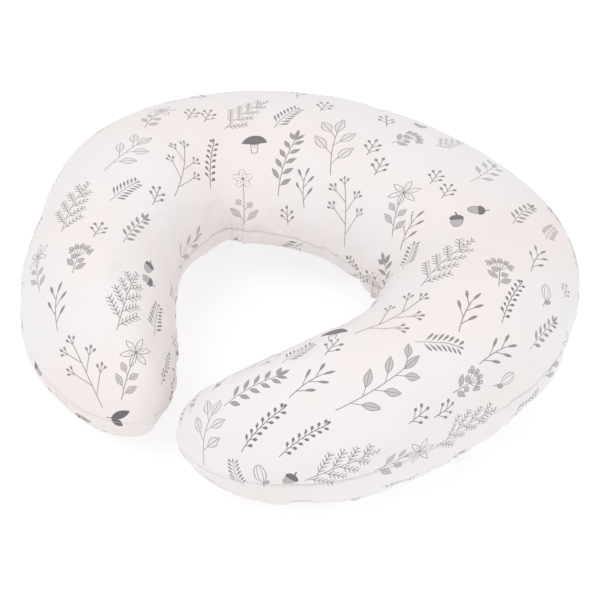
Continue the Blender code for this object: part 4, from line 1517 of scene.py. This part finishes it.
def add_label(material):
    """A blank care label that hangs inside the cover, where the part has it."""
    u = np.linspace(0, 1, LABEL_GRID[0])[:, None]
    v = np.linspace(0, 1, LABEL_GRID[1])[None, :]
    lowest, highest = (np.array(corner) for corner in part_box("care_label"))
    length = highest[2] - lowest[2]
    centre = (lowest + highest) / 2
    angle = math.atan2(centre[0], centre[1] + MIDDLE_Y)
    height = -LABEL_DROP - v * (length - LABEL_SPARE)
    around = angle + (u - 0.5) * LABEL_WIDTH / OUTER_RADIUS
    depth = LABEL_DEPTH + cover_lean(height, -1) + LABEL_WAVE * np.sin(v * 9)
    points = on_arc(around + 0 * v, depth + 0 * u, height + 0 * u)
    mesh = build_mesh("label", points, grid_faces(*LABEL_GRID, False))
    label = body_piece("care_label_satin", mesh, [material], "care_label")


def add_closing(material):
    """The hand stitches that close the inner case, over and under its edge."""
    half = CLOSING_LENGTH / 2 / OUTER_RADIUS
    t = np.linspace(0, 1, CLOSING_WAVES * 16 + 1)
    height = CLOSING_SWAY * np.sin(t * CLOSING_WAVES * 2 * math.pi)
    path = on_arc(half * (2 * t - 1), CLOSING_DEPTH, height)
    thread_piece(
        "inner_case_hand_stitches", tube(path, CLOSING_RADIUS), material,
        "inner_case_closing_stitches",
    )


def build_pillow(materials):
    fields = {side: cover_field(side, ROW_STEP, RING_STEPS) for side in SIDES}
    motifs = laid_motifs(*fields[1][:2])
    motifs = scattered_motifs(*fields[1][:2], motifs, TOP_SEED)
    motifs = scattered_motifs(*fields[-1][:2], motifs, BASE_SEED)
    for name, side, area in (("cover_top", 1, 0.30), ("cover_bottom", -1, 0.31)):
        panel = add_panel(name, side, materials, motifs, fields[side])
    seam = seam_path(fields, SEAM_STITCH_DEPTH, TAIL_HALF + SEAM_STITCH_CLEAR)
    seam = stitches(*seam, SEAM_STITCH_PITCH)
    thread_piece("cover_seam_stitches", seam, materials["thread"], "cover_seam_thread")

    for name, side in (("inner_case_top", 1), ("inner_case_bottom", -1)):
        mesh = build_mesh(name, *hidden_layer(side, CASE_DEPTH, SEAM_GAP))
        case = body_piece(name, mesh, [materials["lawn"]], name + "_panel")
    case = {
        side: cover_field(side, CASE_SEAM_STEP, 12, CASE_DEPTH, SEAM_GAP)
        for side in SIDES
    }
    path, away = seam_path(case, -CASE_SEAM_PROUD, CLOSING_HALF)
    seam = tube(path, CASE_SEAM_RADIUS, 5)
    thread_piece("inner_case_seam", seam, materials["thread"], "inner_case_seam_thread")
    add_closing(materials["thread"])
    add_filling(materials["fibre"])
    add_label(materials["satin"])
    add_zip(materials)
    for name in METAL_NODES:
        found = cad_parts[name].data.materials
        found.clear()
        found.append(materials["nickel"])


# ---------------------------------------------------------------- stage


def add_floor():
    corners = [
        (x * FLOOR_HALF, y * FLOOR_HALF, FLOOR_HEIGHT)
        for x, y in ((-1, -1), (1, -1), (1, 1), (-1, 1))
    ]
    material, tree, shader = new_material("Pale floor")
    set_inputs(shader, FLOOR)
    floor = add_piece("floor", build_mesh("floor", corners, [(0, 1, 2, 3)]), material)


def add_light(name, azimuth, elevation, distance, size, power):
    light = bpy.data.lights.new(name, "AREA")
    light.size = size
    light.energy = power
    lamp = bpy.data.objects.new(name, light)
    back = Vector(direction(azimuth, elevation))
    lamp.location = back * distance + Vector((0, 0, SEAM_HEIGHT))
    lamp.rotation_mode = "QUATERNION"
    lamp.rotation_quaternion = (-back).to_track_quat("-Z", "Y")
    bpy.context.scene.collection.objects.link(lamp)


def add_camera():
    data = bpy.data.cameras.new("Camera")
    data.sensor_width = SENSOR_MM
    data.lens = FOCAL_PIXELS / FRAME_PIXELS * SENSOR_MM
    data.clip_start, data.clip_end = 0.05, 50.0
    camera = bpy.data.objects.new("Camera", data)
    bpy.context.scene.collection.objects.link(camera)
    back = Vector(VIEW_BACK)
    right = Vector((math.cos(math.radians(AZIMUTH)), math.sin(math.radians(AZIMUTH)), 0.0))
    up = back.cross(right)
    low, high = CAD_BOX
    camera.location = (low + high) / 2 + back * CAMERA_DISTANCE
    aim = -back + right * (OBJECT_LEFT_PIXELS / FOCAL_PIXELS)
    aim -= up * (OBJECT_UP_PIXELS / FOCAL_PIXELS)
    facing = aim.to_track_quat("-Z", "Y").to_matrix().to_4x4()
    roll = Matrix.Rotation(CAMERA_ROLL, 4, "Z")
    camera.rotation_mode = "QUATERNION"
    camera.rotation_quaternion = (facing @ roll).to_quaternion()
    bpy.context.scene.camera = camera


def add_world():
    world = bpy.data.worlds.new("Studio")
    world.use_nodes = True
    set_inputs(world.node_tree.nodes["Background"], WORLD)
    bpy.context.scene.world = world


add_camera()
add_world()
add_floor()
for name, values in LIGHTS.items():
    add_light(name, *values)
bpy.context.scene.view_settings.view_transform = "Standard"
STUFFED = stuffed_shape()
build_pillow(build_materials())
